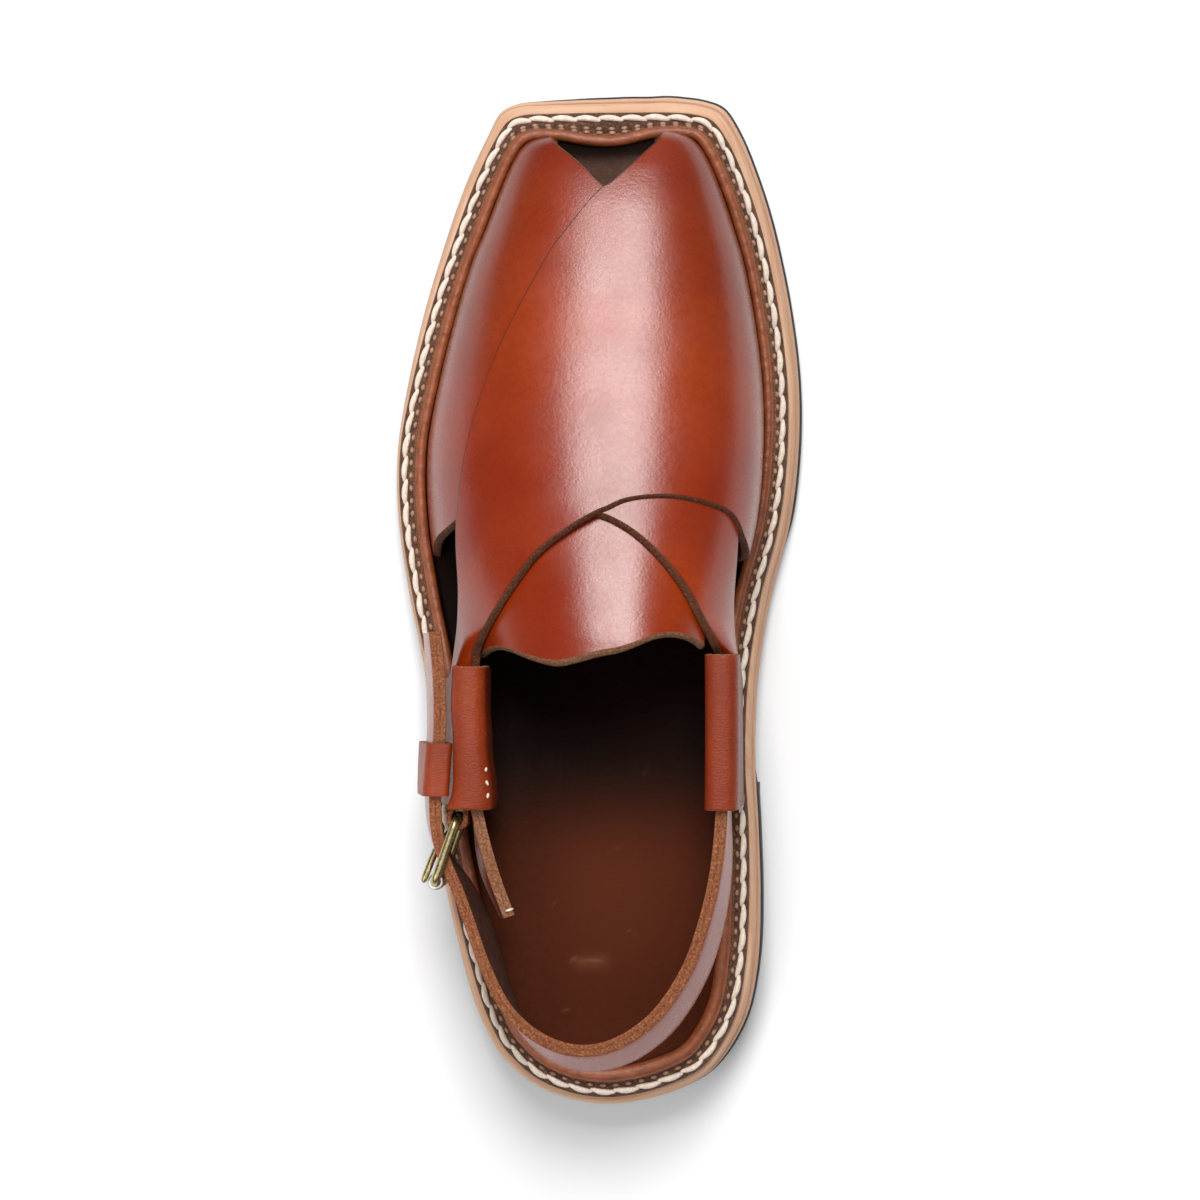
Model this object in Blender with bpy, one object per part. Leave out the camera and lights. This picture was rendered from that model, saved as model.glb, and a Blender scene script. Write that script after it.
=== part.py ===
"""Peshawari chappal, left shoe: leather sandal with two wide straps that cross over the foot, a stitched welt,
a stacked sole with a low heel, and a back strap with a buckle. Lengths in the tables are millimetres; +Y is the
toe, -X the outer (lateral) side, +Z up, and the origin is on the ground under the middle of the sole."""
from math import pi, cos, sin, sqrt, hypot, atan2

import bmesh
import bpy
import numpy as np
from mathutils import Vector

MM = 0.001
ORIGIN = (-0.9, -0.15, 0.0)   # middle of the whole shoe in the tables' own coordinates

# ---------------------------------------------------------------- driving sizes
OUTSOLE_T = 4.0        # rubber outsole
LAYER_T = 4.0          # each of the two leather midsole layers
WELT_T = 3.0
INSOLE_T = 3.5
GAP = 0.3              # between pieces that touch
BEAD_R = 1.5           # rolled edge between welt and upper
STRAP_T = 2.3          # crossed straps of the upper
LIFT = 1.6             # how far the top strap rides up on the lower one
TONGUE_T = 2.0
SLEEVE_T = 2.0         # side pieces and their folded tops
BACK_T, BACK_H = 3.5, 16.0   # back strap, on edge
HEEL_Y = -54.0         # front face of the heel block
WAIST_TUCK = 2.2       # outsole narrower than the midsole at the waist, inner side
WIRE_R = 1.25          # buckle
ROLLER_R = 2.4
SIDE_POWER, TOP_POWER = 0.80, 0.85   # how square the last's sections are

# height of the outsole's underside: heel lift, waist, flat forefoot, toe spring
UNDERSIDE = (  # y, z
    (-150, 14.5), (-120, 14.5), (-80, 13.6), (-54, 11.2), (-38, 7.6), (-20, 3.6), (-4, 0.9), (12, 0.0),
    (75, 0.0), (95, 0.7), (115, 2.4), (135, 4.6), (150, 6.5))

# the welt's outer edge, section by section; rim is what the midsole's top shows outside it, flare what the
# sole's wall adds lower down, band what lies between the welt's edge and the middle of the bead
SECTIONS = (  # y, lateral x, medial x, rim lat, rim med, flare lat, flare med, band lat, band med
    (134.5, -30.6, 37.5, 1.0, 1.0, 3.0, 3.3, 6.6, 6.2),
    (123.0, -36.3, 42.8, 1.0, 1.0, 2.7, 2.5, 6.5, 6.0),
    (108.5, -42.0, 47.6, 0.9, 0.9, 2.6, 2.2, 6.5, 5.9),
    (88.1, -49.0, 52.1, 0.8, 0.9, 2.3, 2.1, 6.5, 5.8),
    (64.6, -55.2, 55.1, 0.7, 0.9, 1.7, 2.0, 6.5, 5.8),
    (44.1, -58.9, 55.2, 0.6, 0.9, 1.2, 1.9, 6.5, 5.8),
    (23.5, -58.6, 52.9, 0.6, 0.9, 1.2, 1.8, 6.5, 5.8),
    (0.0, -54.9, 47.1, 0.7, 0.9, 1.2, 1.7, 6.5, 6.0),
    (-23.4, -49.9, 43.7, 0.8, 0.9, 1.2, 1.5, 6.4, 6.0),
    (-46.6, -47.9, 43.0, 0.8, 0.9, 1.4, 1.5, 6.4, 6.0),
    (-66.8, -45.5, 44.1, 0.9, 1.0, 1.8, 1.3, 6.4, 6.2),
    (-87.0, -41.4, 44.2, 1.1, 1.2, 2.0, 1.6, 6.4, 6.4),
    (-104.3, -37.1, 43.3, 1.2, 1.2, 2.0, 1.9, 6.4, 6.4),
    (-118.8, -32.6, 40.7, 1.3, 1.3, 2.0, 1.7, 6.4, 6.4),
    (-128.9, -27.7, 35.8, 1.4, 1.4, 2.0, 1.5, 6.4, 6.4))
TOE_EDGE = (  # x, y, rim, flare, band
    (-26.6, 140.2, 1.0, 3.9, 6.9), (-22.4, 141.9, 1.0, 4.2, 6.9), (-14.2, 142.3, 1.0, 4.1, 7.0), (-8.7, 142.4, 1.0, 3.9, 7.7),
    (-3.3, 142.5, 1.0, 3.8, 8.3), (2.5, 142.5, 1.0, 3.8, 8.5), (8.0, 142.5, 1.0, 4.0, 8.2), (13.0, 142.5, 1.0, 4.1, 7.4),
    (18.0, 142.5, 1.0, 4.5, 6.6), (23.5, 142.3, 1.0, 4.4, 6.3), (27.5, 141.9, 1.0, 4.3, 6.2), (33.0, 140.2, 1.0, 4.0, 6.2))
HEEL_EDGE = (  # x, y, rim, flare, band
    (30.3, -135.6, 1.5, 1.5, 6.4), (22.0, -140.0, 1.6, 1.8, 6.4), (12.3, -143.0, 1.6, 1.6, 6.4), (1.9, -144.2, 1.6, 1.6, 6.4),
    (-8.5, -142.6, 1.6, 1.6, 6.4), (-18.0, -138.4, 1.6, 1.8, 6.4), (-24.4, -132.8, 1.5, 1.9, 6.4))
SPINE_X, SPINE_TOE, SPINE_HEEL = 3.0, 100.0, -100.0

# the last: height of its ridge above the insole, and how far its top leans to the inner side
LAST = (  # y, ridge, lean
    (-150, 40.0, 4.0), (-90, 46.0, 6.0), (-60, 51.0, 8.0), (-30, 56.0, 9.5), (-12, 56.5, 9.5), (0, 54.5, 9.0), (23, 48.5, 7.0),
    (44, 42.5, 5.0), (65, 36.0, 3.0), (88, 29.0, 1.5), (108, 22.0, 0.5), (122, 15.5, 0.0), (130, 10.5, 0.0), (136, 6.5, 0.0),
    (150, 4.0, 0.0))

LOOP_N = 720


def through(rows, col, at):
    """Smooth curve through one column of a table, against its first column."""
    x = np.array([r[0] for r in rows], float)
    y = np.array([r[col] for r in rows], float)
    h = np.diff(x)
    d = np.diff(y) / h
    m = np.zeros_like(y)
    m[0], m[-1] = d[0], d[-1]
    for i in range(1, len(x) - 1):
        m[i] = 0.0 if d[i - 1] * d[i] <= 0 else 2 * d[i - 1] * d[i] / (d[i - 1] + d[i])
    at = np.clip(np.asarray(at, float), x[0], x[-1])
    i = np.clip(np.searchsorted(x, at) - 1, 0, len(x) - 2)
    t = (at - x[i]) / h[i]
    return ((1 + 2 * t) * (1 - t) ** 2 * y[i] + t * (1 - t) ** 2 * h[i] * m[i]
            + t * t * (3 - 2 * t) * y[i + 1] + t * t * (t - 1) * h[i] * m[i + 1])


def smooth(x):
    x = np.clip(x, 0, 1)
    return x * x * (3 - 2 * x)


def underside(y):
    return through(UNDERSIDE, 1, y)


def spline(points, n, closed=False, plan=False):
    """Smooth curve through rows of points, at n even steps of its length."""
    p = np.asarray(points, float)
    k = len(p)
    if not closed:
        p = np.vstack([2 * p[0] - p[1], p, 2 * p[-1] - p[-2]])
    dims = 2 if plan else p.shape[1]
    out = []
    for i in (range(k) if closed else range(1, k)):
        a, b, c, d = (p[i - 1], p[i], p[(i + 1) % k], p[(i + 2) % k]) if closed else p[i - 1:i + 3]
        t0 = 0.0
        t1 = t0 + max(np.linalg.norm((b - a)[:dims]), 1e-9) ** 0.5
        t2 = t1 + max(np.linalg.norm((c - b)[:dims]), 1e-9) ** 0.5
        t3 = t2 + max(np.linalg.norm((d - c)[:dims]), 1e-9) ** 0.5
        t = np.linspace(t1, t2, 40, endpoint=False)[:, None]
        A1 = (t1 - t) / (t1 - t0) * a + (t - t0) / (t1 - t0) * b
        A2 = (t2 - t) / (t2 - t1) * b + (t - t1) / (t2 - t1) * c
        A3 = (t3 - t) / (t3 - t2) * c + (t - t2) / (t3 - t2) * d
        B1 = (t2 - t) / (t2 - t0) * A1 + (t - t0) / (t2 - t0) * A2
        B2 = (t3 - t) / (t3 - t1) * A2 + (t - t1) / (t3 - t1) * A3
        out.append((t2 - t) / (t2 - t1) * B1 + (t - t1) / (t2 - t1) * B2)
    out = np.vstack(out + [out[0][:1] if closed else p[-2:-1]])
    length = np.concatenate([[0], np.cumsum(np.linalg.norm(np.diff(out[:, :dims], axis=0), axis=1))])
    at = np.linspace(0, length[-1], n, endpoint=not closed)
    return np.stack([np.interp(at, length, out[:, j]) for j in range(out.shape[1])], 1)


def sole_loop():
    """Welt edge from the heel's middle up the lateral side, round the toe and back: x, y, rim, flare, band."""
    rows = list(HEEL_EDGE[3:])
    rows += [(r[1], r[0], r[3], r[5], r[7]) for r in reversed(SECTIONS)]
    rows += list(TOE_EDGE)
    rows += [(r[2], r[0], r[4], r[6], r[8]) for r in SECTIONS]
    rows += list(HEEL_EDGE[:3])
    return spline(rows, LOOP_N, closed=True, plan=True)


LOOP = sole_loop()
TOE_I = min((i for i in range(LOOP_N) if LOOP[i, 1] > 130), key=lambda i: abs(LOOP[i, 0] - SPINE_X))


def station(side, v):
    """Loop row at station v, 0 at the heel's middle and 1 at the toe's, on the lateral (-1) or medial (1) side."""
    v = np.clip(np.asarray(v, float), 0, 1)
    i = v * TOE_I if side < 0 else LOOP_N - v * (LOOP_N - TOE_I)
    i0 = np.floor(i).astype(int)
    f = (i - i0)[..., None]
    return LOOP[i0 % LOOP_N] * (1 - f) + LOOP[(i0 + 1) % LOOP_N] * f


def inset(side, v, distance):
    """Plan point a distance inside the welt's edge, towards the shoe's spine; distance is a function of the row."""
    row = station(side, v)
    p = row[..., :2]
    target = np.stack([np.full(p.shape[:-1], SPINE_X), np.clip(p[..., 1], SPINE_HEEL, SPINE_TOE)], -1)
    way = target - p
    way = way / np.linalg.norm(way, axis=-1, keepdims=True)
    return p + way * np.asarray(distance(row) * np.ones(p.shape[:-1]))[..., None]


def lip(row):
    """How far the outsole's edge stands out beyond the wall over it, on the inner side and round the toe."""
    return 1.05 * smooth((row[..., 0] + 30) / 36) * smooth((row[..., 1] + 142) / 14)


def welt_top(y):
    return underside(y) + OUTSOLE_T + 2 * LAYER_T + WELT_T


def insole_top(y):
    return underside(y) + OUTSOLE_T + 2 * LAYER_T + GAP + INSOLE_T


def feather(side, v):
    """Foot of the last, where the upper's inner face comes down just inside the bead."""
    return inset(side, v, lambda r: r[..., 4] + BEAD_R + GAP + STRAP_T)


def last_point(v, s):
    v, s = np.asarray(v, float), np.asarray(s, float)
    lat, med = feather(-1, v), feather(1, v)
    c = np.cos(pi * np.clip(s, 0, 1))
    across = (1 - np.sign(c) * np.abs(c) ** SIDE_POWER) / 2
    rise = np.sin(pi * np.clip(s, 0, 1)) ** TOP_POWER
    mid_y = (lat[..., 1] + med[..., 1]) / 2
    toe = np.clip((v - 0.905) / 0.095, 0, 1)
    ridge = through(LAST, 1, mid_y) * np.sqrt(np.clip(1 - toe ** 2, 0, 1))
    p = lat + (med - lat) * across[..., None]
    return np.stack([p[..., 0] + through(LAST, 2, mid_y) * rise, p[..., 1], insole_top(p[..., 1]) + GAP + ridge * rise], -1)


def last(v, s, off=0.0):
    """Point on the last at station v and fraction s across, from the lateral edge 0 over the ridge to the medial
    edge 1, raised by off along the surface's normal."""
    e = 2e-3
    v, s = np.asarray(v, float), np.asarray(s, float)
    s0, v0 = np.clip(s, 0.012, 0.988), np.clip(v, 0.01, 0.985)
    dv = last_point(v0 + e, s0) - last_point(v0 - e, s0)
    ds = last_point(v0, s0 + e) - last_point(v0, s0 - e)
    n = np.cross(ds, dv)
    n = n / np.linalg.norm(n, axis=-1, keepdims=True)
    upright = np.clip(np.minimum(s, 1 - s) / 0.05, 0, 1)
    n = n * np.stack([np.ones_like(upright), np.ones_like(upright), upright], -1)
    n = n / np.linalg.norm(n, axis=-1, keepdims=True)
    return last_point(v, s) + n * np.asarray(off, float)[..., None]


# ---------------------------------------------------------------- edges of the upper's pieces on the last
TOP_FRONT = (  # station, across: front edge of the top strap, from its toe tip to the outer side's window
    (0.9480, 1.0), (0.9310, 0.82), (0.9100, 0.6813), (0.8813, 0.5663), (0.8525, 0.4975), (0.8062, 0.4288), (0.7512, 0.3613),
    (0.6875, 0.2975), (0.6262, 0.2560), (0.5700, 0.2188), (0.5275, 0.1860), (0.4980, 0.157), (0.4700, 0.118), (0.4450, 0.085), (0.4110, 0.064))
TOP_BACK = (  # its back edge, from the inner side's sole over the instep to the outer sleeve
    (0.5250, 1.0), (0.5290, 0.90), (0.5420, 0.8180), (0.5600, 0.7562), (0.5690, 0.6700), (0.5725, 0.590), (0.5675, 0.5225),
    (0.5575, 0.495), (0.5437, 0.4537), (0.5250, 0.3950), (0.5038, 0.3412), (0.4812, 0.2825), (0.4550, 0.2063), (0.4400, 0.1700), (0.4180, 0.1500))
LOW_FRONT = (  # the lower strap mirrors it: from its toe tip to the inner side's window
    (0.9430, 0.0), (0.9310, 0.16), (0.9125, 0.3063), (0.8850, 0.430), (0.8550, 0.4975), (0.8062, 0.5712), (0.7512, 0.6387),
    (0.6875, 0.7025), (0.6262, 0.7440), (0.5700, 0.7812), (0.5275, 0.814), (0.4980, 0.843), (0.4700, 0.882), (0.4450, 0.915), (0.4250, 0.930))
LOW_BACK = (
    (0.5240, 0.0), (0.5310, 0.03), (0.5375, 0.0725), (0.5450, 0.1388), (0.5525, 0.1913), (0.5620, 0.2550), (0.5700, 0.330),
    (0.5725, 0.410), (0.5650, 0.470), (0.5550, 0.500), (0.5413, 0.5400), (0.5188, 0.5963), (0.4962, 0.6512), (0.4750, 0.700),
    (0.4575, 0.7525), (0.4430, 0.8080), (0.4330, 0.8350))
TONGUE_BACK = (  # wavy cut edge of the piece under the crossing
    (0.4370, 0.1450), (0.4415, 0.1780), (0.4445, 0.2100), (0.4450, 0.2400), (0.4430, 0.2750), (0.4390, 0.3150), (0.4355, 0.3600), (0.4340, 0.4000),
    (0.4360, 0.4288), (0.4413, 0.4750), (0.4480, 0.5212), (0.4590, 0.5925), (0.4605, 0.6425), (0.4562, 0.706), (0.4500, 0.752))
TONGUE_FRONT = ((0.560, 0.290), (0.605, 0.330), (0.628, 0.420), (0.632, 0.500), (0.628, 0.580), (0.605, 0.670), (0.560, 0.715))

# side pieces with their tops folded over into sleeves, outer face, section by section
QUARTER_LAT = (  # y, foot x, wall x, fold x (outer side), top z, fold width
    (-19.0, -48.4, -42.0, -39.1, 62.0, 9.6), (-30.0, -47.3, -41.6, -39.5, 62.5, 10.0), (-39.5, -46.6, -41.0, -38.9, 62.5, 9.9),
    (-51.0, -45.6, -40.6, -38.9, 62.2, 11.0), (-55.5, -45.2, -41.0, -39.5, 61.9, 12.0), (-59.0, -45.0, -41.6, -41.0, 61.5, 13.4))
QUARTER_MED = (
    (-15.5, 42.2, 42.0, 41.9, 62.0, 9.6), (-30.0, 42.4, 42.2, 42.0, 62.5, 9.6), (-42.0, 42.5, 42.3, 42.0, 62.5, 9.6),
    (-51.0, 42.6, 42.3, 41.9, 62.5, 9.6), (-59.0, 42.8, 42.2, 41.8, 62.0, 9.6))
SLEEVE_DROP = 20.0     # how far the fold comes down inside
FOLD_POWER = 0.8       # under 1 squares the fold's round top
FRONT_SLOPE = 8.0      # how far the side pieces' front edge runs back towards the sole

# back strap, on edge: from inside the inner sleeve round the heel to the buckle and on as the free tail
BACK_STRAP = (  # x and y of its top edge, z of the top edge, lean: how far its lower edge lies outside the top edge
    (37.3, -22.5, 58.2, 0.0), (37.3, -40.0, 58.2, 0.0), (37.1, -58.0, 58.8, 0.6), (35.6, -75.0, 61.0, 2.6), (32.6, -89.0, 62.5, 4.0), (27.2, -104.0, 64.0, 5.0),
    (17.6, -117.5, 65.5, 6.0), (6.0, -124.8, 66.0, 6.4), (-4.0, -126.0, 66.0, 6.0), (-14.0, -122.6, 65.5, 4.0), (-22.8, -115.0, 64.5, 0.5), (-29.0, -104.0, 63.0, -2.0),
    (-33.6, -92.0, 61.0, -2.6), (-37.4, -82.0, 59.3, -1.2), (-41.0, -74.0, 58.3, 1.0), (-43.2, -66.5, 57.8, 2.4), (-43.9, -57.5, 57.5, 3.0),
    (-43.4, -48.0, 57.2, 3.5), (-42.6, -36.0, 57.0, 3.8), (-42.9, -22.0, 56.5, 3.8), (-44.2, -9.0, 55.8, 3.4))
BUCKLE_A = (-37.8, -62.2)      # plan places of the buckle's two upright bars: the one its own strap holds
BUCKLE_B = (-43.9, -79.8)      # and the one with the roller
BUCKLE_Z = (38.6, 60.6)        # centre heights of its lower and upper bars


# ---------------------------------------------------------------- building blocks
def clear():
    for o in list(bpy.data.objects):
        bpy.data.objects.remove(o, do_unlink=True)


def make(name, verts, faces, look, smooth_angle=35):
    mesh = bpy.data.meshes.new(name)
    mesh.from_pydata([tuple(float(c - o) * MM for c, o in zip(v, ORIGIN)) for v in verts], [], [tuple(int(i) for i in f) for f in faces])
    bm = bmesh.new()
    bm.from_mesh(mesh)
    bmesh.ops.remove_doubles(bm, verts=bm.verts, dist=1e-6)
    bmesh.ops.dissolve_degenerate(bm, dist=1e-6, edges=bm.edges)
    bmesh.ops.recalc_face_normals(bm, faces=bm.faces)
    if bm.calc_volume(signed=True) < 0:
        bmesh.ops.reverse_faces(bm, faces=bm.faces)
    bm.to_mesh(mesh)
    bm.free()
    mesh.shade_smooth()
    mesh.set_sharp_from_angle(angle=smooth_angle * pi / 180)
    obj = bpy.data.objects.new(name, mesh)
    bpy.context.scene.collection.objects.link(obj)
    colour, rough, metal = look
    mat = bpy.data.materials.new(name + "_finish")
    mat.use_nodes = True
    shader = mat.node_tree.nodes["Principled BSDF"]
    shader.inputs["Base Color"].default_value = (*colour, 1)
    shader.inputs["Roughness"].default_value = rough
    shader.inputs["Metallic"].default_value = metal
    mesh.materials.append(mat)
    return obj


def boolean(obj, other, operation):
    mod = obj.modifiers.new(operation.lower(), "BOOLEAN")
    mod.operation, mod.solver, mod.object = operation, "EXACT", other
    depsgraph = bpy.context.evaluated_depsgraph_get()
    mesh = bpy.data.meshes.new_from_object(obj.evaluated_get(depsgraph))
    obj.modifiers.clear()
    old = obj.data
    obj.data = mesh
    bpy.data.meshes.remove(old)
    bpy.data.objects.remove(other, do_unlink=True)
    obj.data.shade_smooth()
    obj.data.set_sharp_from_angle(angle=35 * pi / 180)


def quads(rows, cols, wrap_rows=False, wrap_cols=False, start=0):
    out = []
    for i in range(rows if wrap_rows else rows - 1):
        for j in range(cols if wrap_cols else cols - 1):
            a, b = i * cols + j, i * cols + (j + 1) % cols
            c, d = ((i + 1) % rows) * cols + (j + 1) % cols, ((i + 1) % rows) * cols + j
            out.append((start + a, start + b, start + c, start + d))
    return out


def sheet(inner, outer):
    """Closed solid between two grids of points."""
    n, m = inner.shape[:2]
    verts = list(inner.reshape(-1, 3)) + list(outer.reshape(-1, 3))
    k = n * m
    faces = [f[::-1] for f in quads(n, m)] + quads(n, m, start=k)
    rim = [i for i in range(m)] + [i * m + m - 1 for i in range(1, n)] + [(n - 1) * m + j for j in range(m - 2, -1, -1)]
    rim += [i * m for i in range(n - 2, 0, -1)]
    for a, b in zip(rim, rim[1:] + rim[:1]):
        faces.append((a, b, b + k, a + k))
    return verts, faces


def stations(n):
    """n stations, closer together round the heel and the toe corners."""
    v = np.linspace(0, 1, 2001)
    rows = np.stack([station(-1, v), station(1, v)])[..., :2]
    step = np.linalg.norm(np.diff(rows, axis=1), axis=-1).mean(0)
    way = np.diff(rows, axis=1)
    turn = np.abs(np.diff(np.unwrap(np.arctan2(way[..., 1], way[..., 0]), axis=1), axis=1)).max(0)
    weight = step / step.sum() + 1.2 * np.concatenate([[0], turn]) / turn.sum()
    at = np.concatenate([[0], np.cumsum(weight)])
    return np.interp(np.linspace(0, at[-1], n), at, v)


def layer(name, low, high, z_low, z_high, look, n=34):
    """A layer of the sole: low and high give the outline inside the welt's edge, z_low and z_high the heights."""
    v = stations(n)
    verts, faces = [], []
    for dist, z in ((low, z_low), (high, z_high)):
        lat, med = inset(-1, v, dist), inset(1, v, dist)
        ring = np.vstack([lat, med[-2:0:-1]])
        verts += [(x, y, float(z(y))) for x, y in ring]
    k = len(verts) // 2
    for i in range(k):
        j = (i + 1) % k
        faces.append((i, j, j + k, i + k))
    for start in (0, k):
        for i in range(n - 1):
            a, b = i, i + 1
            c, d = (k - b) % k, (k - a) % k
            ring = []
            for q in (a, b, c, d):
                if q not in ring:
                    ring.append(q)
            faces.append(tuple(start + q for q in (ring if start else ring[::-1])))
    return make(name, verts, faces, look)


def rim(row):
    return -row[..., 2]


def wall(share):
    return lambda row: -(row[..., 2] + share * row[..., 3])


def at_height(offset):
    return lambda y: underside(y) + offset


def edge_curve(rows, n):
    """n even steps along an edge given on the last."""
    dense = spline(rows, 400)
    p = last_point(dense[:, 0], dense[:, 1])
    length = np.concatenate([[0], np.cumsum(np.linalg.norm(np.diff(p, axis=0), axis=1))])
    at = np.linspace(0, length[-1], n)
    return np.stack([np.interp(at, length, dense[:, j]) for j in range(2)], 1)


def patch(front, back, n, m):
    """Stations and fractions of a grid ruled between a front and a back edge."""
    f, b = edge_curve(front, n), edge_curve(back, n)
    w = np.linspace(0, 1, m)[None, :, None]
    return f[:, None, :] * (1 - w) + b[:, None, :] * w


def edge_station(rows, s):
    order = sorted((r[1], r[0]) for r in rows)
    return np.interp(s, [o[0] for o in order], [o[1] for o in order])


def lift(grid):
    """How far the top strap stands off the last: it climbs on to the lower strap and comes down past its edges."""
    v, s = grid[..., 0], grid[..., 1]
    ahead = smooth(1 - (v - edge_station(LOW_FRONT, s)) / 0.035)
    behind = smooth(1 - (edge_station(LOW_BACK, s) - v) / 0.035)
    return LIFT * ahead * behind * smooth(s / 0.06)


def section_path(row, side, zf, n_wall=6, n_arc=8, n_in=4):
    """Outer face of a side piece in one section, from its foot up, over the fold and down inside."""
    y, foot, mid, top_x, top_z, width = row
    r = width / 2
    inward = -side
    rz = min(r, 4.6)
    cx, cz = top_x + inward * r, top_z - rz
    up = spline([(foot, zf), (foot + 0.12 * (mid - foot), zf + 4.2), (mid, zf + 0.45 * (cz - zf)), (top_x, cz)], n_wall)
    path = [tuple(p) for p in up]
    for i in range(1, n_arc + 1):
        a = pi * i / n_arc
        c = cos(a)
        path.append((cx - inward * r * (1 if c > 0 else -1) * abs(c) ** FOLD_POWER, cz + rz * sin(a) ** FOLD_POWER))
    for i in range(1, n_in + 1):
        path.append((top_x + inward * width, cz - (SLEEVE_DROP - rz) * i / n_in))
    return np.array(path)


def side_x(rows, side, y, z):
    """Outer face of a side piece's wall at a height, where a strap of the upper runs into it."""
    flipped = sorted(rows)
    row = (y,) + tuple(float(through(flipped, c, y)) for c in range(1, 6))
    path = section_path(row, side, float(welt_top(y)) + 0.5)[:6]
    return float(np.interp(z, path[:, 1], path[:, 0]))


def run_in(points, rows, side, depth):
    """Draws the end of a strap's grid into the wall of its side piece, most at its front edge."""
    n, m = points.shape[:2]
    out = points.copy()
    for i in range(n):
        share = float(smooth((i / (n - 1) - 0.86) / 0.14))
        if share <= 0:
            continue
        for j in range(m):
            k = share * (1 - 0.9 * float(smooth((j / (m - 1) - 0.55) / 0.45)))
            x, y, z = points[i, j]
            out[i, j, 0] = x + k * (side_x(rows, side, y, z) - side * depth - x)
    return out


def quarter(rows, side, n=9):
    ys = np.linspace(rows[0][0], rows[-1][0], n)
    flipped = sorted(rows)
    outer, inner = [], []
    for y in ys:
        row = (y,) + tuple(float(through(flipped, c, y)) for c in range(1, 6))
        share = (y - ys[-1]) / (ys[0] - ys[-1])
        zf = float(welt_top(y - FRONT_SLOPE * share)) + 0.9
        path = section_path(row, side, zf)
        tangent = np.gradient(path, axis=0)
        tangent /= np.linalg.norm(tangent, axis=1, keepdims=True)
        normal = np.stack([tangent[:, 1], -tangent[:, 0]], 1) * (1 if side < 0 else -1)
        thin = path + normal * SLEEVE_T
        # the front edge slopes back to the sole
        yy = y - FRONT_SLOPE * share * np.clip((46.0 - path[:, 1]) / (46.0 - zf), 0, 1)
        outer.append(np.stack([path[:, 0], yy, path[:, 1]], 1))
        inner.append(np.stack([thin[:, 0], yy, thin[:, 1]], 1))
    return sheet(np.array(inner), np.array(outer))


def ribbon(rows, n, thick, height, down=0.0):
    """Strap on edge along a table of its top edge; thickness grows to both sides of the table's line."""
    c = spline(rows, n)
    t = np.gradient(c[:, :2], axis=0)
    t /= np.linalg.norm(t, axis=1, keepdims=True)
    side = np.stack([-t[:, 1], t[:, 0]], 1)
    if True:  # side points away from the shoe's middle
        middle = np.array([0.0, -55.0])
        away = np.sign(((c[:, :2] - middle) * side).sum(1).sum())
        side = side * away
    top = c[:, 2]
    lean = c[:, 3]
    drop = np.sqrt(np.maximum(height ** 2 - lean ** 2, 1))
    corners = []
    for a, z_on in ((-1, 0), (1, 0), (1, 1), (-1, 1)):
        xy = c[:, :2] + side * (a * thick / 2 + z_on * lean)[:, None] if z_on else c[:, :2] + side * (a * thick / 2)
        z = top - drop * z_on
        corners.append(np.column_stack([xy, z]))
    grid = np.stack(corners, 1)
    verts = list(grid.reshape(-1, 3))
    faces = quads(n, 4, wrap_cols=True)
    faces += [(0, 1, 2, 3), tuple((n - 1) * 4 + i for i in (3, 2, 1, 0))]
    return verts, faces


def frames(path, closed):
    p = np.asarray(path, float)
    t = np.roll(p, -1, 0) - np.roll(p, 1, 0) if closed else np.gradient(p, axis=0)
    t /= np.linalg.norm(t, axis=1, keepdims=True)
    return t


def tube(path, radius, sides, closed, up=(0, 0, 1)):
    p = np.asarray(path, float)
    t = frames(p, closed)
    up = np.broadcast_to(np.asarray(up, float), p.shape)
    a = np.cross(t, up)
    a /= np.linalg.norm(a, axis=1, keepdims=True)
    b = np.cross(a, t)
    ring = []
    for k in range(sides):
        w = 2 * pi * (k + 0.5) / sides
        ring.append(p + radius * (cos(w) * a + sin(w) * b))
    grid = np.stack(ring, 1)
    verts = list(grid.reshape(-1, 3))
    faces = quads(len(p), sides, wrap_rows=closed, wrap_cols=True)
    if not closed:
        faces += [tuple(range(sides))[::-1], tuple((len(p) - 1) * sides + i for i in range(sides))]
    return verts, faces


def prism(outline, z0, z1):
    k = len(outline)
    verts = [(x, y, z0) for x, y in outline] + [(x, y, z1) for x, y in outline]
    faces = [(i, (i + 1) % k, (i + 1) % k + k, i + k) for i in range(k)]
    return verts, faces + [tuple(range(k))[::-1], tuple(range(k, 2 * k))]


def arc(cx, cy, r, a0, a1, n):
    return [(cx + r * cos(a0 + (a1 - a0) * i / n), cy + r * sin(a0 + (a1 - a0) * i / n)) for i in range(n + 1)]


def thick_line(points, width):
    """Plan outline of a strip of the given width along points, with square ends."""
    p = np.asarray(points, float)
    t = np.gradient(p, axis=0)
    t /= np.linalg.norm(t, axis=1, keepdims=True)
    s = np.stack([-t[:, 1], t[:, 0]], 1) * width / 2
    return [tuple(q) for q in p + s] + [tuple(q) for q in (p - s)[::-1]]


# ---------------------------------------------------------------- looks: colour, roughness, metallic
RUBBER = ((0.018, 0.018, 0.02), 0.6, 0.0)
TAN = ((0.62, 0.36, 0.18), 0.6, 0.0)
DARK = ((0.065, 0.026, 0.013), 0.6, 0.0)
BROWN = ((0.30, 0.06, 0.018), 0.35, 0.0)
EDGE = ((0.30, 0.085, 0.03), 0.5, 0.0)
FOOTBED = ((0.045, 0.014, 0.008), 0.42, 0.0)
BRASS = ((0.42, 0.32, 0.12), 0.32, 1.0)


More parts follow.
